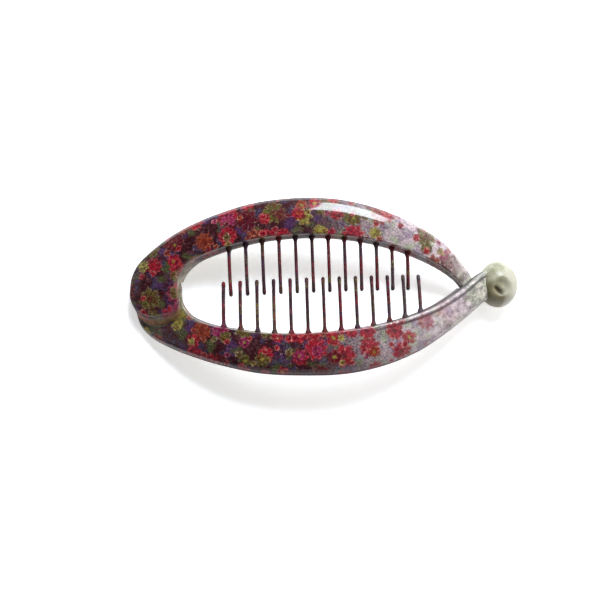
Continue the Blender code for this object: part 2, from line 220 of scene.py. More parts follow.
# A line of painted shade beside the lower arm's inner top edge: how far in, how wide, and where along the arm
# it starts, as does the deeper painted shade of the inner wall
SHADE_LINE_INSET = 1.4 * MM
SHADE_LINE_WIDTH = (0.2 * MM, 0.65 * MM)
CLASP_SHADE_RUN = (66 * MM, 80 * MM)

# Noises: scale, detail, roughness and distortion. The print's and the knob's scales are per millimetre
GLOSS_RIPPLES = (180.0, 2.0)
GLOSS_GRAIN = (2200.0, 2.0)
GLOSS_RUBS = (420.0, 4.0, 0.7)
PRINT_WOBBLE = (0.9, 3.0, 0.6)
PRINT_SHADE = (0.8, 3.0, 0.7)
PRINT_SPECKLE = (1.7, 3.0, 0.7)
PRINT_GLINTS = (1.15, 2.0, 0.6, 0.6)
PATCH_GRAIN = (1.0, 0.5)
BARE_EDGE_GRAIN = (500.0, 3.0, 0.6)
PLASTIC_PATCHES = (170.0, 3.0, 0.65)
PLASTIC_MOTTLE = (420.0, 3.0, 0.7)
KNOB_SMEAR = (0.35, 3.0, 0.6)
KNOB_CLOUDS = (0.3, 3.0, 0.6)
STEEL_BRUSHING = (9000.0, 2.0)
FLOOR_CLOUDS = (6.0, 2.0)
NOISE_MIDDLE = (0.5, 0.5, 0.5)
MILLIMETRES_IN_A_METRE = 1000.0

# Ranges, here and below: the low and high of a value, and what the mask gives there where it isn't 0 and 1.
# A flower: its stray from its cell, petals added at random, turn of the first, lobes' roundness and sizes
FLOWER_STRAY = 0.6
EXTRA_PETALS = 3.99
FIRST_PETAL_TURN = 6.28
LOBE_POWER = 0.55
FLOWER_SIZES = (0.0, 1.0, 0.72, 1.0)

# In shares of a flower's reach: its edge, light rim, the start of the lines between petals, and its heart
PETAL_EDGE = (0.86, 1.1, 1.0, 0.0)
PETAL_RIM = (0.74, 0.9)
PETAL_LINE_START = (0.3, 0.6)
PETAL_LINE_WIDTH = (0.1, 0.34, 1.0, 0.0)
HEART_EDGE = (0.2, 0.3, 1.0, 0.0)

# The print: its wobble, shaded inks, light lines and how they gain where it is pale, hearts and cover
PRINT_BEND = 1.9
INK_SHADE = (0.46, 0.6, 0.0, 0.7)
LINE_SHADE = (0.62, 0.42, 0.0)
LINE_SHARE = (0.42, 0.58)
HEART_SHARE = (0.3, 0.8, 0.8, 0.1)
PETAL_COVER = 0.9

# Speckles, with what they lift and drop as (change where pale, value where dark), and glints
SPECKLE_RANGE = (0.36, 0.66)
SPECKLE_LIFT = (-0.45, 1.8)
SPECKLE_DROP = (0.35, 0.3)
GLINT_RANGE = (0.64, 0.74, 0.0, 0.55)

# Patches of the ground: scale, start and full, most that they cover, ink where dark, ink where pale
GROUND_PATCHES = (
    (0.17, (0.52, 0.60), 0.85, "violet", "dusk"),
    (0.20, (0.53, 0.62), 0.9, "moss", "sage"),
    (0.26, (0.56, 0.66), 0.7, "slate", "plastic"),
    (0.37, (0.56, 0.66), 0.7, "mauve", "dusk"),
)

# Flowers, from large to small: spacing, shift, reach, petals, petal depth, rate, line strength, heart
FLOWER_LAYERS = (
    (8.3, (0.1, 0.42, 0.0), 0.50, 7.0, 0.40, 0.82, 0.35, "dark_red"),
    (5.9, (0.35, 0.6, 0.0), 0.46, 5.0, 0.34, 0.5, 0.35, "leaf"),
    (4.1, (3.7, 1.9, 0.0), 0.33, 5.0, 0.08, 0.42, 1.3, "wine"),
)
FLOWER_INKS = (
    (0.0, "crimson"), (0.3, "dark_red"), (0.4, "olive"), (0.54, "magenta"), (0.64, "crimson"), (0.8, "leaf"),
    (0.91, "orange"),
)
UPPER_PRINT_SHIFT = (0.0, 0.0, 0.0)
LOWER_PRINT_SHIFT = (11.3, 4.6, 0.0)

# Bare plastic: its patches and mottling. Painted shade on walls, teeth and steep edges darkens it and the
# print, and takes from paleness
SAGE_PATCHES = (0.46, 0.6, 0.0, 0.75)
DUSK_PATCHES = (0.44, 0.34, 0.0, 0.6)
MOTTLE_RANGE = (0.38, 0.62, 1.3, 0.55)
BEVEL_MOTTLE_RANGE = (0.38, 0.62, 1.3, 0.7)
WALL_SHADOW = 0.88
WALL_SHADE_INK = 0.6
WALL_PALE_LOSS = -0.75

# Gloss: what grain adds to ripples, rubbed patches, depth of bumps, and the arms' clear coat, less where dull
GRAIN_SHARE = 0.06
RUBS_RANGE = (0.4, 0.7, 0.0, 0.14)
BUMP_DISTANCE = 0.4 * MM
ARM_ROUGHNESS = 0.26
ARM_BUMP = 0.12
ARM_SPECULAR = 0.1
ARM_COAT_ROUGHNESS = 0.07
ARM_COAT_IOR = 1.5
COAT_RANGE = (0.0, 1.0, 0.56, 0.04)
DULL_ROUGHER = 0.4

# The knob, in millimetres from its middle: painted shade on one side, the painted light crescent's left and
# right sides, painted shade in the gate mark
KNOB_BEND = 2.4
KNOB_CLOUD_RANGE = (0.35, 0.65)
KNOB_SHADE_DIRECTION = (-0.62, -0.78)
KNOB_SHADE_RANGE = (1.6, 4.2)
KNOB_SHADE_SHARE = 0.85
LIT_CRESCENT_LEFT = (-1.0, 0.6)
LIT_CRESCENT_RIGHT = (4.2, 2.4)
LIT_CRESCENT_SHARE = 0.6
NOTCH_SHADE_ACROSS = (0.15, 0.95, 1.0, 0.0)
NOTCH_SHADE_ALONG = (1.0, 2.3, 1.0, 0.0)
NOTCH_SHADE_SHARE = 0.9
KNOB_ROUGHNESS = 0.4
KNOB_BUMP = 0.25
KNOB_COAT_WEIGHT = 0.06
KNOB_COAT_ROUGHNESS = 0.2
STEEL_ROUGHNESS = (0.3, 0.7, 0.24, 0.42)

# Low soft lights, outside what the flat tops mirror: name, place, share of the soft lights' power
SOFT_LIGHTS = (
    ("back_light", (0.45, 0.8, 0.36), 0.5),
    ("right_light", (0.85, 0.0, 0.42), 1.0),
    ("front_light", (-0.1, -0.85, 0.36), 0.3),
    ("left_light", (-0.9, 0.1, 0.26), 0.15),
)
SOFT_LIGHT_SIZE = (0.9, 0.5)
SOFT_LIGHT_COLOUR = (1.0, 0.985, 0.96)

# The narrow light that streaks the gloss
WINDOW_PLACE = (0.16, 0.44, 0.49)
WINDOW_TARGET = (0.01, 0.02, 0.02)
WINDOW_SIZE = (0.32, 0.34)
WINDOW_COLOUR = (0.83, 0.92, 1.0)

# The even light: its colour, and where it falls off upwards, so that flat tops mirror the dark above, and
# towards the hinge's side
SKY_COLOUR = (0.95, 0.97, 1.0)
SKY_RISE = (0.2, 0.6)
SKY_SIDE = (-0.7, 0.5)

# The floor: how far it reaches from the middle, its darker clouds and its finish
FLOOR_REACH = 1.5
FLOOR_SHADE = 0.985
FLOOR_ROUGHNESS = 0.9
FLOOR_SPECULAR = 0.1

# The picture that the camera matches: its size and where the clip's middle stands in it
PICTURE_SIZE = 600
CLIP_MIDDLE_PIXEL = Vector((323.5, 286.5))
CAMERA_TARGET = Vector((0, 0, 10 * MM))
SENSOR_WIDTH = 36.0


# Settings that a user would change


def length_setting(name, description, millimetres):
    return FloatProperty(name=name, description=description, default=millimetres * MM, unit="LENGTH")


def power_setting(name, description, watts):
    return FloatProperty(name=name, description=description, default=watts, unit="POWER")


def angle_setting(name, description, degrees):
    return FloatProperty(name=name, description=description, default=math.radians(degrees), subtype="ANGLE")


def share_setting(name, description, value):
    return FloatProperty(name=name, description=description, default=value)


def count_setting(name, description, value, least):
    return IntProperty(name=name, description=description, default=value, min=least)


def colour_setting(name, description, value):
    return FloatVectorProperty(name=name, description=description, default=value, size=3,
                               min=0.0, max=1.0, subtype="COLOR")


class ArmShape(bpy.types.PropertyGroup):
    """The section of an arm and how finely it is skinned."""

    span_steps: count_setting("Rows per Span", "Sections between two rows of the table", 11, 1)
    edge_steps: count_setting("Edge Steps", "Faces round an upper edge", 8, 2)
    crown_steps: count_setting("Crown Steps", "Faces across the top", 30, 2)
    wall_steps: count_setting("Wall Steps", "Faces down a side", 4, 1)
    disc_steps: count_setting("Disc Rows", "Sections of the hinge disc", 22, 4)
    crown: length_setting("Crown", "How far the top is domed", 0.7)
    outer_edge: length_setting("Outer Edge", "Rounding of the outer upper edge", 1.9)
    shoulder: length_setting("Shoulder", "Width of the sloping shoulder inside that edge", 4.6)
    shoulder_slope: share_setting("Shoulder Slope", "Slope of the shoulder", 0.26)
    inner_edge: length_setting("Inner Edge", "Rounding of the inner upper edge", 0.55)
    disc_edge: length_setting("Disc Edge", "Rounding of the disc's rim", 0.8)
    under_edge: length_setting("Under Edge", "Rounding of the lower edges", 0.8)
    inner_draft: share_setting("Inner Draft", "Slope of the inner wall", 0.11)
    disc_draft: share_setting("Disc Draft", "Slope of the inner wall at the hinge", -0.17)
    disc_fullness: length_setting("Disc Fullness", "How far the disc's inner side swells", 1.3)


class ToothShape(bpy.types.PropertyGroup):
    """One tooth of the combs."""

    half_width: length_setting("Half Width", "Half a tooth's width", 0.56)
    half_depth: length_setting("Half Depth", "Half a tooth's depth", 1.0)
    flare: share_setting("Root Flare", "How much wider the root is", 0.85)
    flare_run: length_setting("Flare Run", "Length over which the root narrows", 1.5)
    bulge: share_setting("Tip Bulge", "How much wider the tip is", 0.14)
    tip_run: length_setting("Tip Run", "Length of the rounded tip", 0.8)
    embed: length_setting("Embed", "Length of the root inside the arm", 2.5)
    drop: length_setting("Drop", "How far the tip hangs below the root", 1.2)
    sides: count_setting("Sides", "Faces round a tooth", 16, 6)


class KnobShape(bpy.types.PropertyGroup):
    """The round knob with its dimple."""

    radii: FloatVectorProperty(name="Radii", description="Half the knob's length, width and height",
                               default=(6.6 * MM, 7.8 * MM, 6.9 * MM), size=3, unit="LENGTH")
    dimple_radius: length_setting("Dimple Radius", "Radius of the dimple's opening", 3.7)
    dimple_floor: share_setting("Dimple Floor", "Share of that radius where the dimple is deepest", 0.3)
    dimple_depth: length_setting("Dimple Depth", "How deep the dimple is", 1.3)
    notch_depth: length_setting("Notch Depth", "How deep the gate mark in the dimple is", 0.9)
    rings: count_setting("Rings", "Rings of faces from pole to pole", 72, 8)


class ClipColours(bpy.types.PropertyGroup):
    """The inks of the print, the plastic under it, the knob and the pin, and inks of painted shade and light.
    """

    crimson: colour_setting("Crimson", "Most of the large flowers", (0.20, 0.005, 0.013))
    dark_red: colour_setting("Dark Red", "Flowers in the shade", (0.055, 0.003, 0.006))
    magenta: colour_setting("Magenta", "Pink flowers", (0.15, 0.010, 0.045))
    orange: colour_setting("Orange Red", "Warm flowers", (0.15, 0.022, 0.008))
    olive: colour_setting("Olive", "Green flowers", (0.06, 0.052, 0.010))
    leaf: colour_setting("Leaf", "Yellow-green flowers and leaves", (0.16, 0.135, 0.024))
    violet: colour_setting("Violet", "Violet patches of the ground", (0.042, 0.016, 0.048))
    wine: colour_setting("Wine", "Dark patches of the ground", (0.026, 0.005, 0.007))
    mauve: colour_setting("Mauve", "The greyish ground", (0.050, 0.017, 0.021))
    # Lilac is the pale print's own colour and partly a painted sheen
    lilac: colour_setting("Lilac", "The ground where the print is pale", (0.355, 0.278, 0.284))
    line: colour_setting("Line", "Light lines round the petals", (0.38, 0.23, 0.185))
    plastic: colour_setting("Plastic", "The bare plastic", (0.33, 0.31, 0.24))
    tinted: colour_setting("Tinted Plastic", "Bare plastic with dark print behind it", (0.20, 0.17, 0.11))
    slate: colour_setting("Slate", "Blue-grey patches of the ground", (0.034, 0.026, 0.052))
    moss: colour_setting("Moss", "Grey-green patches of the ground", (0.042, 0.041, 0.016))
    # Painted shade: the inner wall ink and the shadow ink darken walls, teeth and steep edges
    wall: colour_setting("Inner Wall", "Shaded print on inner walls and teeth", (0.026, 0.009, 0.013))
    shadow: colour_setting("Shadow", "Steep sides of the bare plastic", (0.062, 0.054, 0.056))
    dusk: colour_setting("Dusk", "Violet-grey patches of the pale ground", (0.19, 0.135, 0.168))
    sage: colour_setting("Sage", "Grey-green patches of the pale ground", (0.25, 0.25, 0.18))
    stain: colour_setting("Stain", "The tinted bevel under the disc's rim", (0.17, 0.098, 0.042))
    warm_stain: colour_setting("Warm Stain", "The bevel's outer end", (0.19, 0.066, 0.036))
    knob_light: colour_setting("Knob", "The knob's light plastic", (0.315, 0.283, 0.197))
    knob_deep: colour_setting("Deep Knob", "The knob's darker clouds", (0.195, 0.186, 0.108))
    # Painted shade: the knob's olive side, away from the light
    knob_painted_shade: colour_setting("Knob's Dark Side", "Olive side of the knob", (0.115, 0.09, 0.036))
    # Painted light: the knob's lit crescent
    crescent: colour_setting("Crescent", "The knob's light crescent", (0.37, 0.345, 0.28))
    # Painted shade in the gate mark's groove
    mark: colour_setting("Gate Mark", "Shade in the knob's gate mark", (0.035, 0.025, 0.01))
    steel_dark: colour_setting("Dark Steel", "The pin's darker brushing", (0.52, 0.52, 0.53))
    steel_light: colour_setting("Light Steel", "The pin's lighter brushing", (0.66, 0.66, 0.67))


class StageSettings(bpy.types.PropertyGroup):
    """Floor, lights and camera."""

    floor: colour_setting("Floor", "The floor's colour", (0.94, 0.94, 0.94))
    floor_glow: share_setting("Floor Glow", "Light from the floor itself, as from a light table", 0.52)
    sky: share_setting("Sky", "Strength of the even light from low all round", 0.62)
    sky_top: share_setting("Sky Top", "Strength of the even light from above", 0.06)
    sky_left: share_setting("Sky Left", "Share of the even light that the hinge's side has", 0.4)
    soft: power_setting("Soft Lights", "Power that the soft lights take their shares of", 4.0)
    window: power_setting("Window", "Power of the narrow light that streaks the gloss", 9.6)
    distance: length_setting("Camera Distance", "From the camera to the clip", 450)
    tilt: angle_setting("Camera Tilt", "How far the view leans from straight down", 6.0)
    roll: angle_setting("Camera Roll", "Turn of the picture", 2.0)
    pixel: length_setting("Pixel", "Size of a picture point at the clip", 0.337)


# Places on the bow


def bow_angle(x):
    """The bow's lean at a plan x: negative at the hinge end, positive at the knob end."""
    return math.asin((x - BOW_CENTRE_X) / BOW_RADIUS)


def bow_height(x):
    return BOW_RADIUS * (math.cos(bow_angle(x)) - math.cos(bow_angle(0)))


def on_bow(x, y, height):
    """A plan point, counted from the hinge, and its height above the bow, as a place in the world."""
    lean = bow_angle(x)
    place = Vector((x + height * math.sin(lean), y, bow_height(x) + height * math.cos(lean)))
    return HINGE_POSITION + place


def frame_on_bow(x, y, height):
    return Matrix.Translation(on_bow(x, y, height)) @ Matrix.Rotation(bow_angle(x), 4, "Y")


HINGE_FRAME = frame_on_bow(0, 0, 0)


# Meshes


def smooth_up_to(thing, angle):
    """Smooth shading up to an angle in degrees."""
    thing.data.shade_smooth()
    thing.data.set_sharp_from_angle(angle=math.radians(angle))


def new_object(name, mesh_data):
    """An object made of a bmesh in world places."""
    bmesh.ops.recalc_face_normals(mesh_data, faces=mesh_data.faces)
    if mesh_data.calc_volume(signed=True) < 0:
        bmesh.ops.reverse_faces(mesh_data, faces=mesh_data.faces)
    mesh = bpy.data.meshes.new(name)
    mesh_data.to_mesh(mesh)
    mesh_data.free()
    thing = bpy.data.objects.new(name, mesh)
    bpy.context.scene.collection.objects.link(thing)
    smooth_up_to(thing, PART_SMOOTHING)
    return thing


def mesh_volume(mesh):
    body = bmesh.new()
    body.from_mesh(mesh)
    volume = body.calc_volume(signed=True)
    body.free()
    return volume


def combine(thing, others, operation):
    """Joins or cuts a mesh with others, for good, and removes the others."""
    before = mesh_volume(thing.data)
    for other in others:
        modifier = thing.modifiers.new(other.name, "BOOLEAN")
        modifier.object = other
        modifier.operation = operation
        modifier.solver = "EXACT"
    evaluated = thing.evaluated_get(bpy.context.evaluated_depsgraph_get())
    mesh = bpy.data.meshes.new_from_object(evaluated)
    thing.modifiers.clear()
    thing.data = mesh
    grown = mesh_volume(mesh) > before
    if grown != (operation == "UNION"):
        raise RuntimeError(f"{operation} of {thing.name} has failed")
    for other in others:
        bpy.data.objects.remove(other, do_unlink=True)


def set_material(thing, material):
    thing.data.materials.clear()
    thing.data.materials.append(material)


class Skin:
    """A bmesh that is lofted from rings of (place, print place, cover, stain, painted shade)."""

    def __init__(self):
        self.mesh = bmesh.new()
        self.place = self.mesh.loops.layers.uv.new("print_place")
        self.cover = self.mesh.loops.layers.uv.new("print_cover")
        # This layer carries how far shade is painted on a point
        self.wall = self.mesh.loops.layers.uv.new("inner_wall")
        self.facts = {}

    def vertex(self, point):
        vertex = self.mesh.verts.new(point[0])
        self.facts[vertex] = point[1:]
        return vertex

    def face(self, corners):
        face = self.mesh.faces.new(corners)
        for loop in face.loops:
            print_place, cover, stain, wall = self.facts[loop.vert]
            loop[self.place].uv = print_place
            loop[self.cover].uv = (cover, stain)
            loop[self.wall].uv = (wall, 0.0)

    def loft(self, rings, first_cap=True):
        rows = [[self.vertex(point) for point in ring] for ring in rings]
        count = len(rows[0])
        for row, following in zip(rows, rows[1:]):
            for i in range(count):
                j = (i + 1) % count
                self.face((row[i], row[j], following[j], following[i]))
        ends = ((rows[0], rings[0]), (rows[-1], rings[-1]))
        for row, ring in ends if first_cap else ends[1:]:
            middle = self.vertex((sum((p[0] for p in ring), Vector()) / count, *ring[0][1:]))
            for i in range(count):
                self.face((row[i], row[(i + 1) % count], middle))


def blend_values(start, end, share):
    return start + (end - start) * share


def ramp_between(value, low, high):
    """0 below low, 1 above high, eased between."""
    share = min(1.0, max(0.0, (value - low) / (high - low)))
    return share * share * (3 - 2 * share)


def shoulder_drop(s, width, slope, ease):
    """How far a sloping shoulder has fallen at a distance s from the outer wall, eased where it starts."""
    inside = width - s
    return slope * (max(0.0, inside) + max(ease - abs(inside), 0.0) ** 2 / (4 * ease))


def soft_least(a, b, ease):
    """The lesser of two lengths, rounded where they are close."""
    return min(a, b) - max(ease - abs(a - b), 0.0) ** 2 / (4 * ease)


def eased_rows(table, steps):
    """Rows in metres, with a smooth curve run through each column of the table."""
    rows = [(*(value * MM for value in row[:-1]), row[-1]) for row in table]
    found = []
    last = len(rows) - 1
    for span in range(last):
        before, start, end, after = (rows[min(max(span + k, 0), last)] for k in (-1, 0, 1, 2))
        for step in range(steps):
            t = step / steps
            found.append(tuple(
                b + 0.5 * t * (c - a + t * (2 * a - 5 * b + 4 * c - d + t * (3 * (b - c) + d - a)))
                for a, b, c, d in zip(before, start, end, after)
            ))
    found.append(rows[last])
    return found


def edge_drop(distance, radius):
    """How far a rounded edge has fallen at a distance from its wall."""
    inside = max(0.0, radius - distance)
    return radius - math.sqrt(radius ** 2 - inside ** 2)


class Section:
    """The numbers of one arm section, and its points as (s, w, part): s across, w up."""

    def __init__(self, shape, width, top, under, disc_share):
        self.width = width
        self.top = top
        self.under = under
        self.depth = top - under
        outer = blend_values(shape.outer_edge, shape.disc_edge, disc_share)
        inner = blend_values(shape.inner_edge, shape.disc_edge, disc_share)
        draft = blend_values(shape.inner_draft, shape.disc_draft, disc_share)
        self.outer = min(outer, OUTER_EDGE_LIMIT[0] * width, OUTER_EDGE_LIMIT[1] * self.depth)
        self.inner = min(inner, INNER_EDGE_LIMIT * width)
        self.below = min(shape.under_edge, UNDER_EDGE_LIMIT[0] * width, UNDER_EDGE_LIMIT[1] * self.depth)
        self.crown = min(shape.crown, CROWN_LIMIT * width) * (1 - DISC_CROWN_LOSS * disc_share)
        self.shoulder = min(shape.shoulder, SHOULDER_LIMIT * width)
        self.shoulder_slope = shape.shoulder_slope * (1 - disc_share)
        self.inner_share = blend_values(INNER_CROWN_SHARE, 1.0, min(1.0, 2 * disc_share))
        self.top_width = width - min(draft * self.depth, DRAFT_LIMIT * width)

    def top_at(self, s):
        """The height of the top at a distance from the outer wall."""
        from_middle = 2 * s / self.top_width - 1
        dome = self.crown * from_middle ** 2 * (1.0 if from_middle < 0 else self.inner_share)
        crowned = self.top - dome - shoulder_drop(s, self.shoulder, self.shoulder_slope, SHOULDER_EASE)
        return crowned - edge_drop(s, self.outer) - edge_drop(self.top_width - s, self.inner)

    def points(self, shape):
        """Round the section: under the outer wall, up it, over the top, down the inner wall and under it."""
        quarter = [math.pi / 2 * i / shape.edge_steps for i in range(shape.edge_steps + 1)]
        shares = [i / shape.wall_steps for i in range(1, shape.wall_steps)]
        below = self.below
        foot = self.under + below
        arc = [(below * math.sin(a), foot - below * math.cos(a)) for a in quarter[::2]]
        found = [(below - run, w, "under") for run, w in arc]
        head = self.top_at(0.0)
        found += [(0.0, blend_values(foot, head, share), "outer") for share in shares]
        start, end = self.outer, self.top_width - self.inner
        across = [self.outer * (1 - math.cos(a)) for a in quarter]
        across += [blend_values(start, end, i / shape.crown_steps) for i in range(1, shape.crown_steps)]
        across += [self.top_width - self.inner * (1 - math.cos(a)) for a in reversed(quarter)]
        found += [(s, self.top_at(s), "top") for s in across]
        head = self.top_at(self.top_width)
        found += [(blend_values(self.top_width, self.width, share), blend_values(head, foot, share), "inner")
                  for share in shares]
        found += [(self.width - below + run, w, "under") for run, w in reversed(arc)]
        return found


def unrolled(points, middle):
    """Where each point would lie across the arm if its section were rolled out flat."""
    tops = [i for i, point in enumerate(points) if point[2] == "top"]
    centre = min(tops, key=lambda i: abs(points[i][0] - middle))
    flat = [0.0] * len(points)
    flat[centre] = points[centre][0]
    for step in (1, -1):
        i = centre
        while 0 <= i + step < len(points):
            run = math.dist(points[i][:2], points[i + step][:2])
            flat[i + step] = flat[i] + step * run
            i += step
    return flat


def lap_limit(x, y):
    """The highest that the lower arm may be beside the hinge, so that the disc turns over it."""
    distance = math.hypot(x, y)
    return -GAP / 2 + LAP_SLOPE * max(0.0, distance - LAP_RADIUS)


def lapped(w, foot, top, limit):
    """A height of the lower arm, squeezed so that its top comes down to the lap's limit."""
    return w if w < foot else foot + (w - foot) * (limit - foot) / (top - foot)


def fall_below(rim, w):
    """0 above the rounding of the disc's rim and 1 at the lap."""
    return min(1.0, max(0.0, (rim - w) / rim)) if rim > 0 else 1.0


def print_masks(part, s, w, place, shift, section, side):
    """How far a point is printed, less where highlights are painted, how far it is tinted, how far shade is
    painted.
    """
    if part == "under":
        return 0.0, 0.0, 0.0
    printed = ramp_between((w - section.under) / section.depth, *PRINT_FOOT)
    near_clasp = 0.0
    wall_highlight = 0.0
    if side < 0:
        printed *= ramp_between(math.hypot(place.x, place.y + BEVEL_RUN), *NOSE_PRINT_START)
        near_clasp = ramp_between(place.x, *CLASP_SHADE_RUN)
    else:
        # Painted highlight: the wall beside the hinge is left bare and unshaded
        wall_highlight = ramp_between(place.x, *WALL_HIGHLIGHT_START) * (1 - ramp_between(place.x, *WALL_HIGHLIGHT_END))
        wall_highlight *= WALL_HIGHLIGHT_SHARE
    # Inner walls get painted shade, deeper towards the clasp
    if part == "inner":
        shade = blend_values(INNER_WALL_SHADE, 1.0, near_clasp) * (1 - wall_highlight)
        return printed * (1 - wall_highlight), 0.0, shade
    from_inner = section.top_width - s
    # Painted highlight: the print is taken away along the inner top edge near the hinge
    rubbed = 1 - ramp_between(abs(from_inner - EDGE_HIGHLIGHT_INSET * section.inner), *EDGE_HIGHLIGHT_WIDTH)
    rubbed *= (1 - ramp_between(place.x, *EDGE_HIGHLIGHT_END)) * ramp_between(place.x, *EDGE_HIGHLIGHT_START)
    rubbed *= 1 - wall_highlight
    bevel = ramp_between(shift, *BEVEL_START) * (1 - ramp_between(side * place.y, *BEVEL_END))
    # Painted shade along the steep outer edge
    steep = 1 - ramp_between(s, *STEEP_EDGE_SHADE)
    # Painted shade: a dark line just inside the lit inner ridge
    shade_line = 1 - ramp_between(abs(from_inner - SHADE_LINE_INSET), *SHADE_LINE_WIDTH)
    shade = max(steep, shade_line * near_clasp) * (1 - bevel)
    return printed * (1 - bevel) * (1 - EDGE_HIGHLIGHT_SHARE * rubbed), bevel, shade


def ring_of(row, side, bevel, shape):
    """One section's ring of an arm, with the print's place and masks at each point."""
    outer_x, outer_y, inner_x, inner_y, top, under, disc_share = row
    start = Vector((outer_x, side * outer_y))
    across = Vector((inner_x, side * inner_y)) - start
    section = Section(shape, across.length, top, under, disc_share)
    points = section.points(shape)
    flat = unrolled(points, section.top_width / 2)
    along = across.normalized()
    ring = []
    for (s, w, part), rolled in zip(points, flat):
        place = start + along * s
        shift = bevel * disc_share * fall_below(top - section.outer, w)
        if side < 0:
            limit = soft_least(top, lap_limit(place.x, place.y), LAP_EASE)
            w = lapped(w, under + section.below, top, limit)
        masks = print_masks(part, s, w, place, shift, section, side)
        print_place = start + along * rolled + Vector((HINGE_POSITION.x, HINGE_POSITION.y - side * shift))
        ring.append((on_bow(place.x, place.y - side * shift, w), print_place, *masks))
    return ring


def disc_rings(first_row, side, bevel, shape):
    """Rings of the hinge disc's far half: chords whose height falls towards the rim on every side."""
    outer_x, _, inner_x, _, top, under, disc_share = first_row
    base = Section(shape, inner_x - outer_x, top, under, disc_share)
    points = base.points(shape)
    inner_x = outer_x + max(base.width, base.top_width)
    swell = shape.disc_fullness if side > 0 else 0.0
    rings = []
    for step in range(shape.disc_steps):
        turn = math.pi / 2 * (1 - step / shape.disc_steps)
        y = outer_x * math.sin(turn)
        ring = []
        for s, w, part in points:
            x = (outer_x + s) * math.cos(turn)
            half = inner_x if x > 0 else -outer_x
            out = min(1.0, math.hypot(x / half, y / outer_x))
            if x > 0:
                share = (outer_x + s) / inner_x
                x = share * (inner_x * math.cos(turn) ** DISC_SQUARENESS + swell * math.sin(2 * turn))
            if part == "top":
                w = top - base.crown * out ** 2 - edge_drop(-outer_x * (1 - out), base.outer)
            shift = bevel * fall_below(top - base.outer, w)
            if side < 0:
                w = lapped(w, under + base.below, top, lap_limit(x, y))
            rim_part = "outer" if part == "inner" and y < INNER_WALL_END else part
            masks = print_masks(rim_part, s, w, Vector((x, side * y)), shift, base, side)
            print_place = Vector((x, side * (y - shift))) + HINGE_POSITION.xy
            ring.append((on_bow(x, side * (y - shift), w), print_place, *masks))
        rings.append(ring)
    return rings


def inner_edge_y(rows, x):
    """How far an arm's inner edge is from the long axis at a plan x."""
    for row, following in zip(rows, rows[1:]):
        if row[2] <= x <= following[2]:
            share = (x - row[2]) / (following[2] - row[2])
            return blend_values(row[3], following[3], share)
    raise ValueError("no inner edge at this x")


def tooth_stations(tooth, length):
    """(distance from the root, share of the width, share of the depth) along a tooth."""
    found = [(-tooth.embed, 1 + tooth.flare, 1.0)]
    for i in range(FLARE_STEPS + 1):
        share = i / FLARE_STEPS
        fading = (1 - share) ** 2
        found.append((tooth.flare_run * share, 1 + tooth.flare * fading, 1 + ROOT_DEEPER * fading))
    neck = length - (BULGE_TIPS + 1) * tooth.tip_run
    for i in range(1, SHAFT_STEPS + 1):
        found.append((blend_values(tooth.flare_run, neck, i / SHAFT_STEPS), 1.0, 1.0))
    for i in range(1, BULGE_STEPS + 1):
        share = i / BULGE_STEPS
        along = neck + BULGE_TIPS * tooth.tip_run * share
        found.append((along, 1 + tooth.bulge * ramp_between(share, 0, 1), 1.0))
    for i in range(1, TIP_STEPS + 1):
        turn = math.pi / 2 * i / TIP_CLOSES_AT
        along = length - tooth.tip_run * (1 - math.sin(turn))
        found.append((along, (1 + tooth.bulge) * math.cos(turn), math.cos(turn)))
    return found


def comb(name, rows, tooth):
    """The teeth of one arm as one mesh of closed bodies."""
    side, first, narrowing, reach, count = COMBS[name]
    skin = Skin()
    turns = [2 * math.pi * (k + 0.5) / tooth.sides for k in range(tooth.sides)]
    for i in range(count):
        x = first * MM + i * TOOTH_PITCH - i * i * narrowing * MM
        root = inner_edge_y(rows, x)
        length = root + reach * MM
        rings = []
        for along, width, depth in tooth_stations(tooth, length):
            height = TOOTH_HEIGHT - tooth.drop * max(0.0, along / length) ** 2
            ring = []
            for turn in turns:
                px = x + tooth.half_width * width * math.cos(turn)
                py = side * (root - along)
                place = on_bow(px, py, height + tooth.half_depth * depth * math.sin(turn))
                # Teeth carry painted shade in full
                ring.append((place, HINGE_POSITION.xy + Vector((px, py)), 1.0, 0.0, TOOTH_SHADE))
            rings.append(ring)
        skin.loft(rings)
    return new_object(name + "_comb_shape", skin.mesh)


def hinge_cutter(name, profile, sides=CUTTER_SIDES):
    """A body about the hinge axis, from (radius, height) pairs. A radius may be a function of direction."""
    body = bmesh.new()
    turns = [2 * math.pi * i / sides for i in range(sides)]
    rows = []
    for radius, height in profile:
        row = []
        for turn in turns:
            reach = radius(turn) if callable(radius) else radius
            corner = Vector((reach * math.cos(turn), reach * math.sin(turn), height))
            row.append(body.verts.new(HINGE_FRAME @ corner))
        rows.append(row)
    for row, following in zip(rows, rows[1:]):
        for i in range(sides):
            j = (i + 1) % sides
            body.faces.new((row[i], row[j], following[j], following[i]))
    body.faces.new(rows[0])
    body.faces.new(rows[-1])
    return new_object(name, body)


def nose_room_radius(turn):
    """How far the room for the nose reaches from the hinge axis in a direction."""
    direction = Vector((math.cos(turn), math.sin(turn)))
    reaches = []
    for radius, x, y in NOSE_ROOM:
        centre = Vector((x, y))
        along = centre.dot(direction)
        reaches.append(along + math.sqrt(radius ** 2 - centre.length_squared + along ** 2))
    return max(reaches) * MM


def box_cutter(name, matrix, low, high):
    body = bmesh.new()
    bmesh.ops.create_cube(body, size=1.0)
    size = high - low
    body.transform(matrix @ Matrix.Translation((low + high) / 2) @ Matrix.Diagonal((*size, 1.0)))
    return new_object(name, body)


def floor_cutter():
    reach = FLOOR_CUTTER_REACH
    return box_cutter("below_floor", Matrix(), Vector((-reach, -reach, -reach)), Vector((reach, reach, 0)))


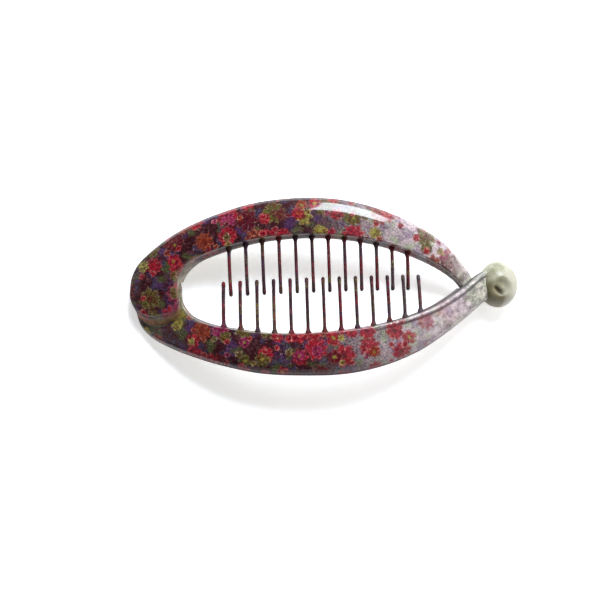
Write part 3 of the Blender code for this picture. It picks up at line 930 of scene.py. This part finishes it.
def ball_cutter(name, matrix, radii):
    body = bmesh.new()
    bmesh.ops.create_uvsphere(body, u_segments=CUTTER_SIDES, v_segments=CUTTER_SIDES // 2, radius=1.0)
    body.transform(matrix @ Matrix.Diagonal((*radii, 1.0)))
    return new_object(name, body)


def arm_mesh(name, side, table, bevel):
    """An arm with its comb, before its hinge and clasp are cut."""
    scene = bpy.context.scene
    shape = scene.clip_arm
    rows = eased_rows(table, shape.span_steps)
    skin = Skin()
    rings = disc_rings(rows[0], side, bevel, shape)
    skin.loft(rings + [ring_of(row, side, bevel, shape) for row in rows], first_cap=False)
    bmesh.ops.remove_doubles(skin.mesh, verts=skin.mesh.verts, dist=MERGE_DISTANCE)
    arm = new_object(name, skin.mesh)
    combine(arm, [comb(name.split("_")[0], rows, scene.clip_tooth)], "UNION")
    return arm


# Shader nodes


def add_node(tree, kind, **settings):
    node = tree.nodes.new(kind)
    for key, value in settings.items():
        setattr(node, key, value)
    return node


def feed(tree, socket, value):
    """Links an output into a socket, or sets the socket's own value."""
    if isinstance(value, bpy.types.NodeSocket):
        tree.links.new(value, socket)
    elif value is not None:
        socket.default_value = value


def maths(tree, operation, first, second=None, third=None, clamp=False):
    node = add_node(tree, "ShaderNodeMath", operation=operation, use_clamp=clamp)
    for socket, value in zip(node.inputs, (first, second, third)):
        feed(tree, socket, value)
    return node.outputs[0]


def times(tree, first, second):
    return maths(tree, "MULTIPLY", first, second)


def vector_maths(tree, operation, first, second=None, scale=None):
    node = add_node(tree, "ShaderNodeVectorMath", operation=operation)
    feed(tree, node.inputs[0], first)
    feed(tree, node.inputs[1], second)
    if scale is not None:
        feed(tree, node.inputs["Scale"], scale)
    return node.outputs["Value"] if operation in ("LENGTH", "DOT_PRODUCT") else node.outputs[0]


def eased_mask(tree, value, low, high, start=0.0, end=1.0):
    node = add_node(tree, "ShaderNodeMapRange", interpolation_type="SMOOTHSTEP")
    for socket, given in zip(node.inputs, (value, low, high, start, end)):
        feed(tree, socket, given)
    return node.outputs[0]


def mixed(tree, share, first, second, blend_type="MIX"):
    node = add_node(tree, "ShaderNodeMix", data_type="RGBA", blend_type=blend_type)
    feed(tree, node.inputs[0], share)
    feed(tree, node.inputs[6], opaque(first))
    feed(tree, node.inputs[7], opaque(second))
    return node.outputs[2]


def opaque(colour):
    return colour if isinstance(colour, bpy.types.NodeSocket) else (*colour[:3], 1.0)


def colour_steps(tree, value, stops, interpolation="CONSTANT"):
    """A colour ramp. Stops are (position, colour)."""
    node = add_node(tree, "ShaderNodeValToRGB")
    ramp = node.color_ramp
    ramp.interpolation = interpolation
    while len(ramp.elements) < len(stops):
        ramp.elements.new(1.0)
    for element, (position, colour) in zip(ramp.elements, stops):
        element.position = position
        element.color = opaque(colour)
    feed(tree, node.inputs[0], value)
    return node.outputs[0]


def noise(tree, place, scale, detail=2.0, roughness=0.5, distortion=0.0):
    node = add_node(tree, "ShaderNodeTexNoise")
    feed(tree, node.inputs["Vector"], place)
    node.inputs["Scale"].default_value = scale
    node.inputs["Detail"].default_value = detail
    node.inputs["Roughness"].default_value = roughness
    node.inputs["Distortion"].default_value = distortion
    return node.outputs


def axes_of(tree, vector):
    node = add_node(tree, "ShaderNodeSeparateXYZ")
    feed(tree, node.inputs[0], vector)
    return node.outputs


def own_place(tree):
    return add_node(tree, "ShaderNodeTexCoord").outputs["Object"]


def painted(tree, layer):
    """What the skin carries in one of its layers."""
    return add_node(tree, "ShaderNodeUVMap", uv_map=layer).outputs[0]


def bent(tree, place, grain, amount):
    """A place moved about by a noise."""
    wobble = vector_maths(tree, "SUBTRACT", noise(tree, place, *grain)[1], NOISE_MIDDLE)
    return vector_maths(tree, "ADD", place, vector_maths(tree, "SCALE", wobble, scale=amount))


def stained(tree, colour, mask, ink, share=1.0):
    """A colour with an ink laid over it where a mask is, up to a share."""
    return mixed(tree, times(tree, mask, share) if share != 1.0 else mask, colour, ink)


def multiplied(tree, colour, factor):
    return mixed(tree, 1.0, colour, factor, "MULTIPLY")


def bumped(tree, shader, height, strength):
    bump = add_node(tree, "ShaderNodeBump")
    bump.inputs["Strength"].default_value = strength
    bump.inputs["Distance"].default_value = BUMP_DISTANCE
    feed(tree, bump.inputs["Height"], height)
    feed(tree, shader.inputs["Normal"], bump.outputs[0])


def set_shader(shader, **values):
    """Sets the shader's own values. Underscores in the names stand for spaces."""
    for label, value in values.items():
        shader.inputs[label.replace("_", " ")].default_value = value


def group_tree(name, inputs, outputs):
    """A node group with named sockets. Inputs are (name, type, default) and outputs (name, type)."""
    tree = bpy.data.node_groups.new(name, "ShaderNodeTree")
    for label, kind, value in inputs:
        socket = tree.interface.new_socket(name=label, in_out="INPUT", socket_type=kind)
        if value is not None:
            socket.default_value = value
    for label, kind in outputs:
        tree.interface.new_socket(name=label, in_out="OUTPUT", socket_type=kind)
    entry = add_node(tree, "NodeGroupInput")
    leave = add_node(tree, "NodeGroupOutput")
    return tree, entry.outputs, leave.inputs


def use_group(tree, group, **values):
    """Places a group in a tree. Underscores in the names stand for spaces."""
    node = add_node(tree, "ShaderNodeGroup", node_tree=group)
    for label, value in values.items():
        feed(tree, node.inputs[label.replace("_", " ")], value)
    return node.outputs


def flower_group():
    """One layer of scattered flowers: masks for petals, light lines and hearts, and two random keys."""
    tree, given, result = group_tree("scattered_flowers", (
        ("Place", "NodeSocketVector", None),
        ("Spacing", "NodeSocketFloat", 5.0),
        ("Shift", "NodeSocketVector", None),
        ("Reach", "NodeSocketFloat", 0.42),
        ("Petals", "NodeSocketFloat", 6.0),
        ("Petal Depth", "NodeSocketFloat", 0.4),
        ("Rate", "NodeSocketFloat", 0.8),
    ), (
        ("Petals", "NodeSocketFloat"),
        ("Lines", "NodeSocketFloat"),
        ("Heart", "NodeSocketFloat"),
        ("Key", "NodeSocketFloat"),
        ("Second Key", "NodeSocketFloat"),
    ))
    scaled = vector_maths(tree, "SCALE", given["Place"], scale=maths(tree, "DIVIDE", 1.0, given["Spacing"]))
    moved = vector_maths(tree, "ADD", scaled, given["Shift"])
    cells = add_node(tree, "ShaderNodeTexVoronoi", voronoi_dimensions="2D", feature="F1")
    feed(tree, cells.inputs["Vector"], moved)
    cells.inputs["Scale"].default_value = 1.0
    cells.inputs["Randomness"].default_value = FLOWER_STRAY
    keys = add_node(tree, "ShaderNodeSeparateColor")
    feed(tree, keys.inputs[0], cells.outputs["Color"])
    key, second_key, third_key = keys.outputs
    distance = cells.outputs["Distance"]
    present = maths(tree, "LESS_THAN", key, given["Rate"])

    offset = axes_of(tree, vector_maths(tree, "SUBTRACT", moved, cells.outputs["Position"]))
    turn = maths(tree, "ARCTAN2", offset["Y"], offset["X"])
    extra = maths(tree, "FLOOR", times(tree, second_key, EXTRA_PETALS))
    count = maths(tree, "ADD", given["Petals"], extra)
    swirl = maths(tree, "MULTIPLY_ADD", third_key, FIRST_PETAL_TURN, times(tree, turn, count))
    wave = maths(tree, "ABSOLUTE", maths(tree, "COSINE", times(tree, swirl, 0.5)))
    full = times(tree, given["Reach"], eased_mask(tree, third_key, *FLOWER_SIZES))
    lobes = maths(tree, "SUBTRACT", maths(tree, "POWER", wave, LOBE_POWER), 1.0)
    depth = maths(tree, "MULTIPLY_ADD", lobes, given["Petal Depth"], 1.0)
    share = maths(tree, "DIVIDE", distance, times(tree, full, depth))

    petals = times(tree, eased_mask(tree, share, *PETAL_EDGE), present)
    rim = times(tree, eased_mask(tree, share, *PETAL_RIM), petals)
    gaps = times(tree, eased_mask(tree, wave, *PETAL_LINE_WIDTH), eased_mask(tree, share, *PETAL_LINE_START))
    lines = times(tree, maths(tree, "MAXIMUM", rim, gaps), petals)
    heart = eased_mask(tree, maths(tree, "DIVIDE", distance, full), *HEART_EDGE)
    found = {
        "Petals": petals,
        "Lines": lines,
        "Heart": times(tree, heart, present),
        "Key": maths(tree, "DIVIDE", key, given["Rate"]),
        "Second Key": second_key,
    }
    for label, value in found.items():
        feed(tree, result[label], value)
    return tree


def gloss_group():
    """The unevenness of moulded plastic: slow ripples, fine grain and rubbed patches."""
    tree, given, result = group_tree("moulded_gloss", (
        ("Place", "NodeSocketVector", None),
        ("Base Roughness", "NodeSocketFloat", 0.2),
    ), (("Height", "NodeSocketFloat"), ("Roughness", "NodeSocketFloat")))
    ripples = noise(tree, given["Place"], *GLOSS_RIPPLES)[0]
    grain = noise(tree, given["Place"], *GLOSS_GRAIN)[0]
    feed(tree, result["Height"], maths(tree, "MULTIPLY_ADD", grain, GRAIN_SHARE, ripples))
    patches = eased_mask(tree, noise(tree, given["Place"], *GLOSS_RUBS)[0], *RUBS_RANGE)
    feed(tree, result["Roughness"], maths(tree, "ADD", given["Base Roughness"], patches))
    return tree


def print_group(flowers):
    """The floral print: mottled ground, three layers of flowers and speckles, lighter where it is pale."""
    inks = bpy.context.scene.clip_inks
    tree, given, result = group_tree("floral_print", (
        ("Place", "NodeSocketVector", None),
        ("Pale", "NodeSocketFloat", 0.0),
        ("Shift", "NodeSocketVector", None),
    ), (("Color", "NodeSocketColor"),))
    # Pale is partly the print's own fade and partly a painted sheen
    pale = given["Pale"]
    millimetres = vector_maths(tree, "SCALE", given["Place"], scale=MILLIMETRES_IN_A_METRE)
    place = bent(tree, millimetres, PRINT_WOBBLE, PRINT_BEND)

    colour = mixed(tree, pale, inks.wine, inks.lilac)
    for scale, (low, high), most, dark_ink, pale_ink in GROUND_PATCHES:
        patch = eased_mask(tree, noise(tree, place, scale, *PATCH_GRAIN)[0], low, high, 0.0, most)
        ink = mixed(tree, pale, getattr(inks, dark_ink), getattr(inks, pale_ink))
        colour = mixed(tree, patch, colour, ink)

    shade = noise(tree, place, *PRINT_SHADE)[0]
    line_share = maths(tree, "MULTIPLY_ADD", pale, *LINE_SHARE)
    flower_inks = [(position, getattr(inks, name)) for position, name in FLOWER_INKS]
    for spacing, shift, reach, petals, depth, rate, strength, heart in FLOWER_LAYERS:
        layer = use_group(tree, flowers, Place=place, Spacing=spacing,
                          Shift=vector_maths(tree, "ADD", given["Shift"], shift),
                          Reach=reach, Petals=petals, Petal_Depth=depth, Rate=rate)
        ink = colour_steps(tree, layer["Key"], flower_inks)
        ink = mixed(tree, eased_mask(tree, shade, *INK_SHADE), ink, inks.dark_red)
        light = times(tree, eased_mask(tree, shade, *LINE_SHADE, strength), layer["Lines"])
        ink = mixed(tree, times(tree, light, line_share), ink, inks.line)
        heart_share = times(tree, layer["Heart"], eased_mask(tree, layer["Second Key"], *HEART_SHARE))
        ink = mixed(tree, heart_share, ink, getattr(inks, heart))
        colour = stained(tree, colour, layer["Petals"], ink, PETAL_COVER)

    speckle = noise(tree, place, *PRINT_SPECKLE)[0]
    lift = maths(tree, "MULTIPLY_ADD", pale, *SPECKLE_LIFT)
    drop = maths(tree, "MULTIPLY_ADD", pale, *SPECKLE_DROP)
    colour = multiplied(tree, colour, eased_mask(tree, speckle, *SPECKLE_RANGE, lift, drop))
    glints = eased_mask(tree, noise(tree, place, *PRINT_GLINTS)[0], *GLINT_RANGE)
    feed(tree, result["Color"], mixed(tree, glints, colour, inks.line))
    return tree


def new_material(name):
    """A material with its tree and its Principled BSDF."""
    material = bpy.data.materials.new(name)
    material.use_nodes = True
    return material, material.node_tree, material.node_tree.nodes["Principled BSDF"]


def shared_group(name, builder, *arguments):
    """A node group that is built the first time it is asked for."""
    found = bpy.data.node_groups.get(name)
    return found if found else builder(*arguments)


def printed_material(name, shift, bare_run):
    """Printed plastic under clear gloss, bare where the cover is nought."""
    inks = bpy.context.scene.clip_inks
    flowers = shared_group("scattered_flowers", flower_group)
    floral = shared_group("floral_print", print_group, flowers)
    gloss = shared_group("moulded_gloss", gloss_group)
    material, tree, shader = new_material(name)

    place = painted(tree, "print_place")
    cover, stain, _ = axes_of(tree, painted(tree, "print_cover"))
    # Painted shade mask: inner walls, teeth, steep outer edges and a line near the clasp are darkened and
    # dulled
    wall = axes_of(tree, painted(tree, "inner_wall"))[0]
    along = axes_of(tree, place)[0]
    here = own_place(tree)

    # Paler towards the clasp: partly the print's own fade, partly a painted sheen
    pale = eased_mask(tree, along, *PALE_AND_SHEEN_RUN)
    pale = times(tree, pale, maths(tree, "MULTIPLY_ADD", wall, WALL_PALE_LOSS, 1.0))
    printed = use_group(tree, floral, Place=place, Pale=pale, Shift=shift)["Color"]
    printed = stained(tree, printed, wall, inks.wall, WALL_SHADE_INK)
    edge = noise(tree, here, *BARE_EDGE_GRAIN)[0]
    worn_along = maths(tree, "MULTIPLY_ADD", edge, BARE_EDGE_WANDER, along)
    covered = times(tree, cover, eased_mask(tree, worn_along, *bare_run, 1.0, 0.0))

    patchy = noise(tree, here, *PLASTIC_PATCHES)[0]
    mottled = noise(tree, here, *PLASTIC_MOTTLE)[0]
    plastic = mixed(tree, eased_mask(tree, along, *CREAM_RUN), inks.lilac, inks.plastic)
    plastic = mixed(tree, eased_mask(tree, patchy, *SAGE_PATCHES), plastic, inks.sage)
    plastic = mixed(tree, eased_mask(tree, patchy, *DUSK_PATCHES), plastic, inks.dusk)
    plastic = mixed(tree, eased_mask(tree, along, *TINTED_RUN, 1.0, 0.0), plastic, inks.tinted)
    plastic = multiplied(tree, plastic, eased_mask(tree, mottled, *MOTTLE_RANGE))
    plastic = stained(tree, plastic, wall, inks.shadow, WALL_SHADOW)
    bevel = mixed(tree, eased_mask(tree, along, *STAIN_RUN), inks.warm_stain, inks.stain)
    bevel = multiplied(tree, bevel, eased_mask(tree, mottled, *BEVEL_MOTTLE_RANGE))
    plastic = mixed(tree, stain, plastic, bevel)
    feed(tree, shader.inputs["Base Color"], mixed(tree, covered, plastic, printed))

    surface = use_group(tree, gloss, Place=here, Base_Roughness=ARM_ROUGHNESS)
    dull = maths(tree, "MAXIMUM", wall, stain)
    roughness = maths(tree, "MULTIPLY_ADD", dull, DULL_ROUGHER, surface["Roughness"])
    feed(tree, shader.inputs["Roughness"], roughness)
    feed(tree, shader.inputs["Coat Weight"], eased_mask(tree, dull, *COAT_RANGE))
    bumped(tree, shader, surface["Height"], ARM_BUMP)
    set_shader(shader, Specular_IOR_Level=ARM_SPECULAR, Coat_Roughness=ARM_COAT_ROUGHNESS,
               Coat_IOR=ARM_COAT_IOR)
    return material


def knob_material():
    """Bare moulded plastic, pale green-cream, with painted shade on one side, a painted light crescent and
    painted shade in the gate mark.
    """
    inks = bpy.context.scene.clip_inks
    gloss = shared_group("moulded_gloss", gloss_group)
    material, tree, shader = new_material("knob_plastic")
    here = own_place(tree)
    middle = knob_frame()
    to_knob = add_node(tree, "ShaderNodeMapping", vector_type="TEXTURE")
    feed(tree, to_knob.inputs["Vector"], here)
    to_knob.inputs["Location"].default_value = middle.to_translation()
    to_knob.inputs["Rotation"].default_value = middle.to_euler()
    from_middle = vector_maths(tree, "SCALE", to_knob.outputs[0], scale=MILLIMETRES_IN_A_METRE)
    place = bent(tree, from_middle, KNOB_SMEAR, KNOB_BEND)
    x, y, _ = axes_of(tree, place)

    clouds = eased_mask(tree, noise(tree, place, *KNOB_CLOUDS)[0], *KNOB_CLOUD_RANGE)
    colour = mixed(tree, clouds, inks.knob_light, inks.knob_deep)
    # Painted shade: darker olive towards the lower left
    to_x, to_y = KNOB_SHADE_DIRECTION
    low = maths(tree, "MULTIPLY_ADD", x, to_x, times(tree, y, to_y))
    colour = stained(tree, colour, eased_mask(tree, low, *KNOB_SHADE_RANGE), inks.knob_painted_shade,
                     KNOB_SHADE_SHARE)
    # Painted light: a pale crescent right of the knob's middle
    crescent = times(tree, eased_mask(tree, x, *LIT_CRESCENT_LEFT), eased_mask(tree, x, *LIT_CRESCENT_RIGHT))
    colour = stained(tree, colour, crescent, inks.crescent, LIT_CRESCENT_SHARE)

    # Painted shade: the gate mark's groove darkened
    centre = tuple(MILLIMETRES_IN_A_METRE * value for value in (*NOTCH_CENTRE, 0.0))
    groove = vector_maths(tree, "SUBTRACT", place, centre)
    flat = vector_maths(tree, "MULTIPLY", groove, (1.0, 1.0, 0.0))
    near = []
    for direction, run in ((NOTCH_DIRECTION.orthogonal(), NOTCH_SHADE_ACROSS), (NOTCH_DIRECTION, NOTCH_SHADE_ALONG)):
        distance = maths(tree, "ABSOLUTE", vector_maths(tree, "DOT_PRODUCT", flat, (*direction, 0.0)))
        near.append(eased_mask(tree, distance, *run))
    colour = stained(tree, colour, times(tree, *near), inks.mark, NOTCH_SHADE_SHARE)
    feed(tree, shader.inputs["Base Color"], colour)

    surface = use_group(tree, gloss, Place=here, Base_Roughness=KNOB_ROUGHNESS)
    feed(tree, shader.inputs["Roughness"], surface["Roughness"])
    bumped(tree, shader, surface["Height"], KNOB_BUMP)
    set_shader(shader, Coat_Weight=KNOB_COAT_WEIGHT, Coat_Roughness=KNOB_COAT_ROUGHNESS)
    return material


def steel_material():
    """Turned steel, brushed round its axis."""
    inks = bpy.context.scene.clip_inks
    material, tree, shader = new_material("pin_steel")
    from_axis = vector_maths(tree, "SUBTRACT", own_place(tree), tuple(HINGE_POSITION))
    ring = vector_maths(tree, "SCALE", (1.0, 0.0, 0.0), scale=vector_maths(tree, "LENGTH", from_axis))
    brushed = noise(tree, ring, *STEEL_BRUSHING)[0]
    feed(tree, shader.inputs["Base Color"], mixed(tree, brushed, inks.steel_dark, inks.steel_light))
    feed(tree, shader.inputs["Roughness"], eased_mask(tree, brushed, *STEEL_ROUGHNESS))
    set_shader(shader, Metallic=1.0)
    return material


def floor_material():
    """The pale floor, faintly clouded, with a glow of its own."""
    stage = bpy.context.scene.clip_stage
    material, tree, shader = new_material("pale_floor")
    clouds = noise(tree, own_place(tree), *FLOOR_CLOUDS)[0]
    darker = tuple(FLOOR_SHADE * value for value in stage.floor)
    feed(tree, shader.inputs["Base Color"], mixed(tree, clouds, tuple(stage.floor), darker))
    set_shader(shader, Roughness=FLOOR_ROUGHNESS, Specular_IOR_Level=FLOOR_SPECULAR,
               Emission_Color=(1.0, 1.0, 1.0, 1.0), Emission_Strength=stage.floor_glow)
    return material


# Operators


class CLIP_OT_upper_arm(bpy.types.Operator):
    """Builds the upper arm with its comb, hinge disc and tongue"""

    bl_idname = "clip.upper_arm"
    bl_label = "Upper Arm"

    def execute(self, context):
        arm = arm_mesh("upper_comb_arm", 1, UPPER_SECTIONS, BEVEL_RUN)
        room = hinge_cutter("room_for_nose", ((nose_room_radius, -CUTTER_REACH), (nose_room_radius, GAP / 2)),
                            NOSE_ROOM_SIDES)
        bore = hinge_cutter("pin_bore", ((PIN_BORE_RADIUS, -CUTTER_REACH), (PIN_BORE_RADIUS, PIN_BORE_TOP)))
        combine(arm, [room, bore], "DIFFERENCE")
        smooth_up_to(arm, ARM_SMOOTHING)
        set_material(arm, printed_material("upper_print", UPPER_PRINT_SHIFT, UPPER_BARE_RUN))
        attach(arm, "upper_comb")
        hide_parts("upper_arm")
        return {"FINISHED"}


class CLIP_OT_lower_arm(bpy.types.Operator):
    """Builds the lower arm with its comb, hinge nose and neck"""

    bl_idname = "clip.lower_arm"
    bl_label = "Lower Arm"

    def execute(self, context):
        arm = arm_mesh("lower_comb_arm", -1, LOWER_SECTIONS, 0.0)
        bore = hinge_cutter("pin_bore", (
            (PIN_HEAD_BORE_RADIUS, -CUTTER_REACH), (PIN_HEAD_BORE_RADIUS, PIN_SEAT),
            (PIN_BORE_RADIUS, PIN_SEAT), (PIN_BORE_RADIUS, CUTTER_REACH),
        ))
        clearance = [radius + GAP for radius in context.scene.clip_knob.radii]
        knob_room = ball_cutter("knob_room", knob_frame(), clearance)
        tongue_room = box_cutter("tongue_room", frame_on_bow(CLASP_ROOM_X, 0, 0), CLASP_ROOM_LOW,
                                 CLASP_ROOM_HIGH)
        combine(arm, [bore, knob_room, tongue_room, floor_cutter()], "DIFFERENCE")
        smooth_up_to(arm, ARM_SMOOTHING)
        set_material(arm, printed_material("lower_print", LOWER_PRINT_SHIFT, LOWER_BARE_RUN))
        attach(arm, "lower_comb")
        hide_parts("lower_arm")
        return {"FINISHED"}


def notch_share(place):
    """1 in the middle of the gate mark, a short slanting groove, and 0 well outside it."""
    offset = place.xy - NOTCH_CENTRE
    along = offset.dot(NOTCH_DIRECTION)
    across = offset.dot(NOTCH_DIRECTION.orthogonal())
    return math.exp(-(across / NOTCH_HALF_WIDTH) ** 2 - (along / NOTCH_HALF_LENGTH) ** 4)


def knob_frame():
    return frame_on_bow(KNOB_CENTRE.x, KNOB_CENTRE.y, KNOB_HEIGHT)


class CLIP_OT_clasp_knob(bpy.types.Operator):
    """Builds the round knob with its dimple and gate mark"""

    bl_idname = "clip.clasp_knob"
    bl_label = "Clasp Knob"

    def execute(self, context):
        knob = context.scene.clip_knob
        radii = Vector(knob.radii)
        floor_radius = knob.dimple_floor * knob.dimple_radius
        body = bmesh.new()
        bmesh.ops.create_uvsphere(body, u_segments=2 * knob.rings, v_segments=knob.rings, radius=1.0)
        for vertex in body.verts:
            place = Vector(a * b for a, b in zip(vertex.co, radii))
            if place.z > 0:
                across = (place.xy - DIMPLE_CENTRE).length
                dip = knob.dimple_depth * (1 - ramp_between(across, floor_radius, knob.dimple_radius))
                place.z -= dip + knob.notch_depth * notch_share(place)
            vertex.co = place
        body.transform(knob_frame())
        piece = new_object("round_clasp_knob", body)
        combine(piece, [floor_cutter()], "DIFFERENCE")
        smooth_up_to(piece, KNOB_SMOOTHING)
        set_material(piece, knob_material())
        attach(piece, "lower_comb")
        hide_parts("clasp_knob")
        return {"FINISHED"}


class CLIP_OT_hinge_pin(bpy.types.Operator):
    """Gives the hinge pin its brushed steel"""

    bl_idname = "clip.hinge_pin"
    bl_label = "Hinge Pin"

    def execute(self, context):
        set_material(frame["nodes"]["hinge_pin"], steel_material())
        return {"FINISHED"}


def area_light(name, place, target, size, power, colour):
    light = bpy.data.lights.new(name, "AREA")
    light.shape = "RECTANGLE"
    light.size, light.size_y = size
    light.energy = power
    light.color = colour
    thing = bpy.data.objects.new(name, light)
    thing.location = place
    thing.rotation_euler = (Vector(target) - Vector(place)).to_track_quat("-Z", "Y").to_euler()
    bpy.context.scene.collection.objects.link(thing)


def even_light(stage):
    """A world whose light is stronger from low down, and weaker on the hinge's side."""
    world = bpy.data.worlds.new("even_light")
    world.use_nodes = True
    tree = world.node_tree
    background = tree.nodes["Background"]
    background.inputs["Color"].default_value = opaque(SKY_COLOUR)
    direction = axes_of(tree, add_node(tree, "ShaderNodeTexCoord").outputs["Generated"])
    strength = eased_mask(tree, direction["Z"], *SKY_RISE, stage.sky, stage.sky_top)
    dimmer = eased_mask(tree, direction["X"], *SKY_SIDE, stage.sky_left, 1.0)
    feed(tree, background.inputs["Strength"], times(tree, strength, dimmer))
    return world


def place_camera(stage):
    """A camera that shows the clip where the picture has it."""
    camera = bpy.data.cameras.new("camera")
    camera.sensor_width = SENSOR_WIDTH
    camera.lens = camera.sensor_width * stage.distance / (PICTURE_SIZE * stage.pixel)
    forward = Vector((0, math.sin(stage.tilt), -math.cos(stage.tilt)))
    level = Vector((1, 0, 0))
    rise = Vector((0, math.cos(stage.tilt), math.sin(stage.tilt)))
    up = rise * math.cos(stage.roll) + level * math.sin(stage.roll)
    right = level * math.cos(stage.roll) - rise * math.sin(stage.roll)
    aside = (CLIP_MIDDLE_PIXEL.x - PICTURE_SIZE / 2) * stage.pixel
    below = (CLIP_MIDDLE_PIXEL.y - PICTURE_SIZE / 2) * stage.pixel
    place = CAMERA_TARGET - forward * stage.distance - right * aside + up * below
    thing = bpy.data.objects.new("camera", camera)
    thing.matrix_world = Matrix.Translation(place) @ Matrix((right, up, -forward)).transposed().to_4x4()
    bpy.context.scene.collection.objects.link(thing)
    return thing


class CLIP_OT_stage(bpy.types.Operator):
    """Sets out the pale floor, the soft lights and the camera"""

    bl_idname = "clip.stage"
    bl_label = "Stage"

    def execute(self, context):
        scene = context.scene
        stage = scene.clip_stage
        body = bmesh.new()
        bmesh.ops.create_grid(body, x_segments=1, y_segments=1, size=FLOOR_REACH)
        floor = new_object("pale_floor", body)
        floor.data.materials.append(floor_material())
        scene.world = even_light(stage)
        for name, place, share in SOFT_LIGHTS:
            area_light(name, place, (0, 0, 0), SOFT_LIGHT_SIZE, stage.soft * share, SOFT_LIGHT_COLOUR)
        area_light("window_light", WINDOW_PLACE, WINDOW_TARGET, WINDOW_SIZE, stage.window, WINDOW_COLOUR)
        scene.camera = place_camera(stage)
        scene.view_settings.view_transform = "Standard"
        return {"FINISHED"}


class CLIP_PT_panel(bpy.types.Panel):
    """Lists the clip's pieces and its stage"""

    bl_idname = "CLIP_PT_panel"
    bl_label = "Hair Clip"
    bl_space_type = "VIEW_3D"
    bl_region_type = "UI"
    bl_category = "Hair Clip"

    def draw(self, context):
        for operator in OPERATORS:
            self.layout.operator(operator.bl_idname)
        for setting in SETTINGS:
            box = self.layout.box()
            group = getattr(context.scene, setting)
            for name in group.bl_rna.properties.keys():
                if name not in ("rna_type", "name"):
                    box.prop(group, name)


OPERATORS = (CLIP_OT_upper_arm, CLIP_OT_lower_arm, CLIP_OT_clasp_knob, CLIP_OT_hinge_pin, CLIP_OT_stage)
SETTINGS = {
    "clip_arm": ArmShape,
    "clip_tooth": ToothShape,
    "clip_knob": KnobShape,
    "clip_inks": ClipColours,
    "clip_stage": StageSettings,
}


def register():
    for group in SETTINGS.values():
        bpy.utils.register_class(group)
    for name, group in SETTINGS.items():
        setattr(bpy.types.Scene, name, PointerProperty(type=group))
    for operator in OPERATORS:
        bpy.utils.register_class(operator)
    bpy.utils.register_class(CLIP_PT_panel)


def unregister():
    bpy.utils.unregister_class(CLIP_PT_panel)
    for operator in OPERATORS:
        bpy.utils.unregister_class(operator)
    for name, group in SETTINGS.items():
        delattr(bpy.types.Scene, name)
        bpy.utils.unregister_class(group)


def main():
    register()
    bpy.ops.clip.upper_arm()
    bpy.ops.clip.lower_arm()
    bpy.ops.clip.clasp_knob()
    bpy.ops.clip.hinge_pin()
    bpy.ops.clip.stage()


if __name__ == "__main__":
    main()
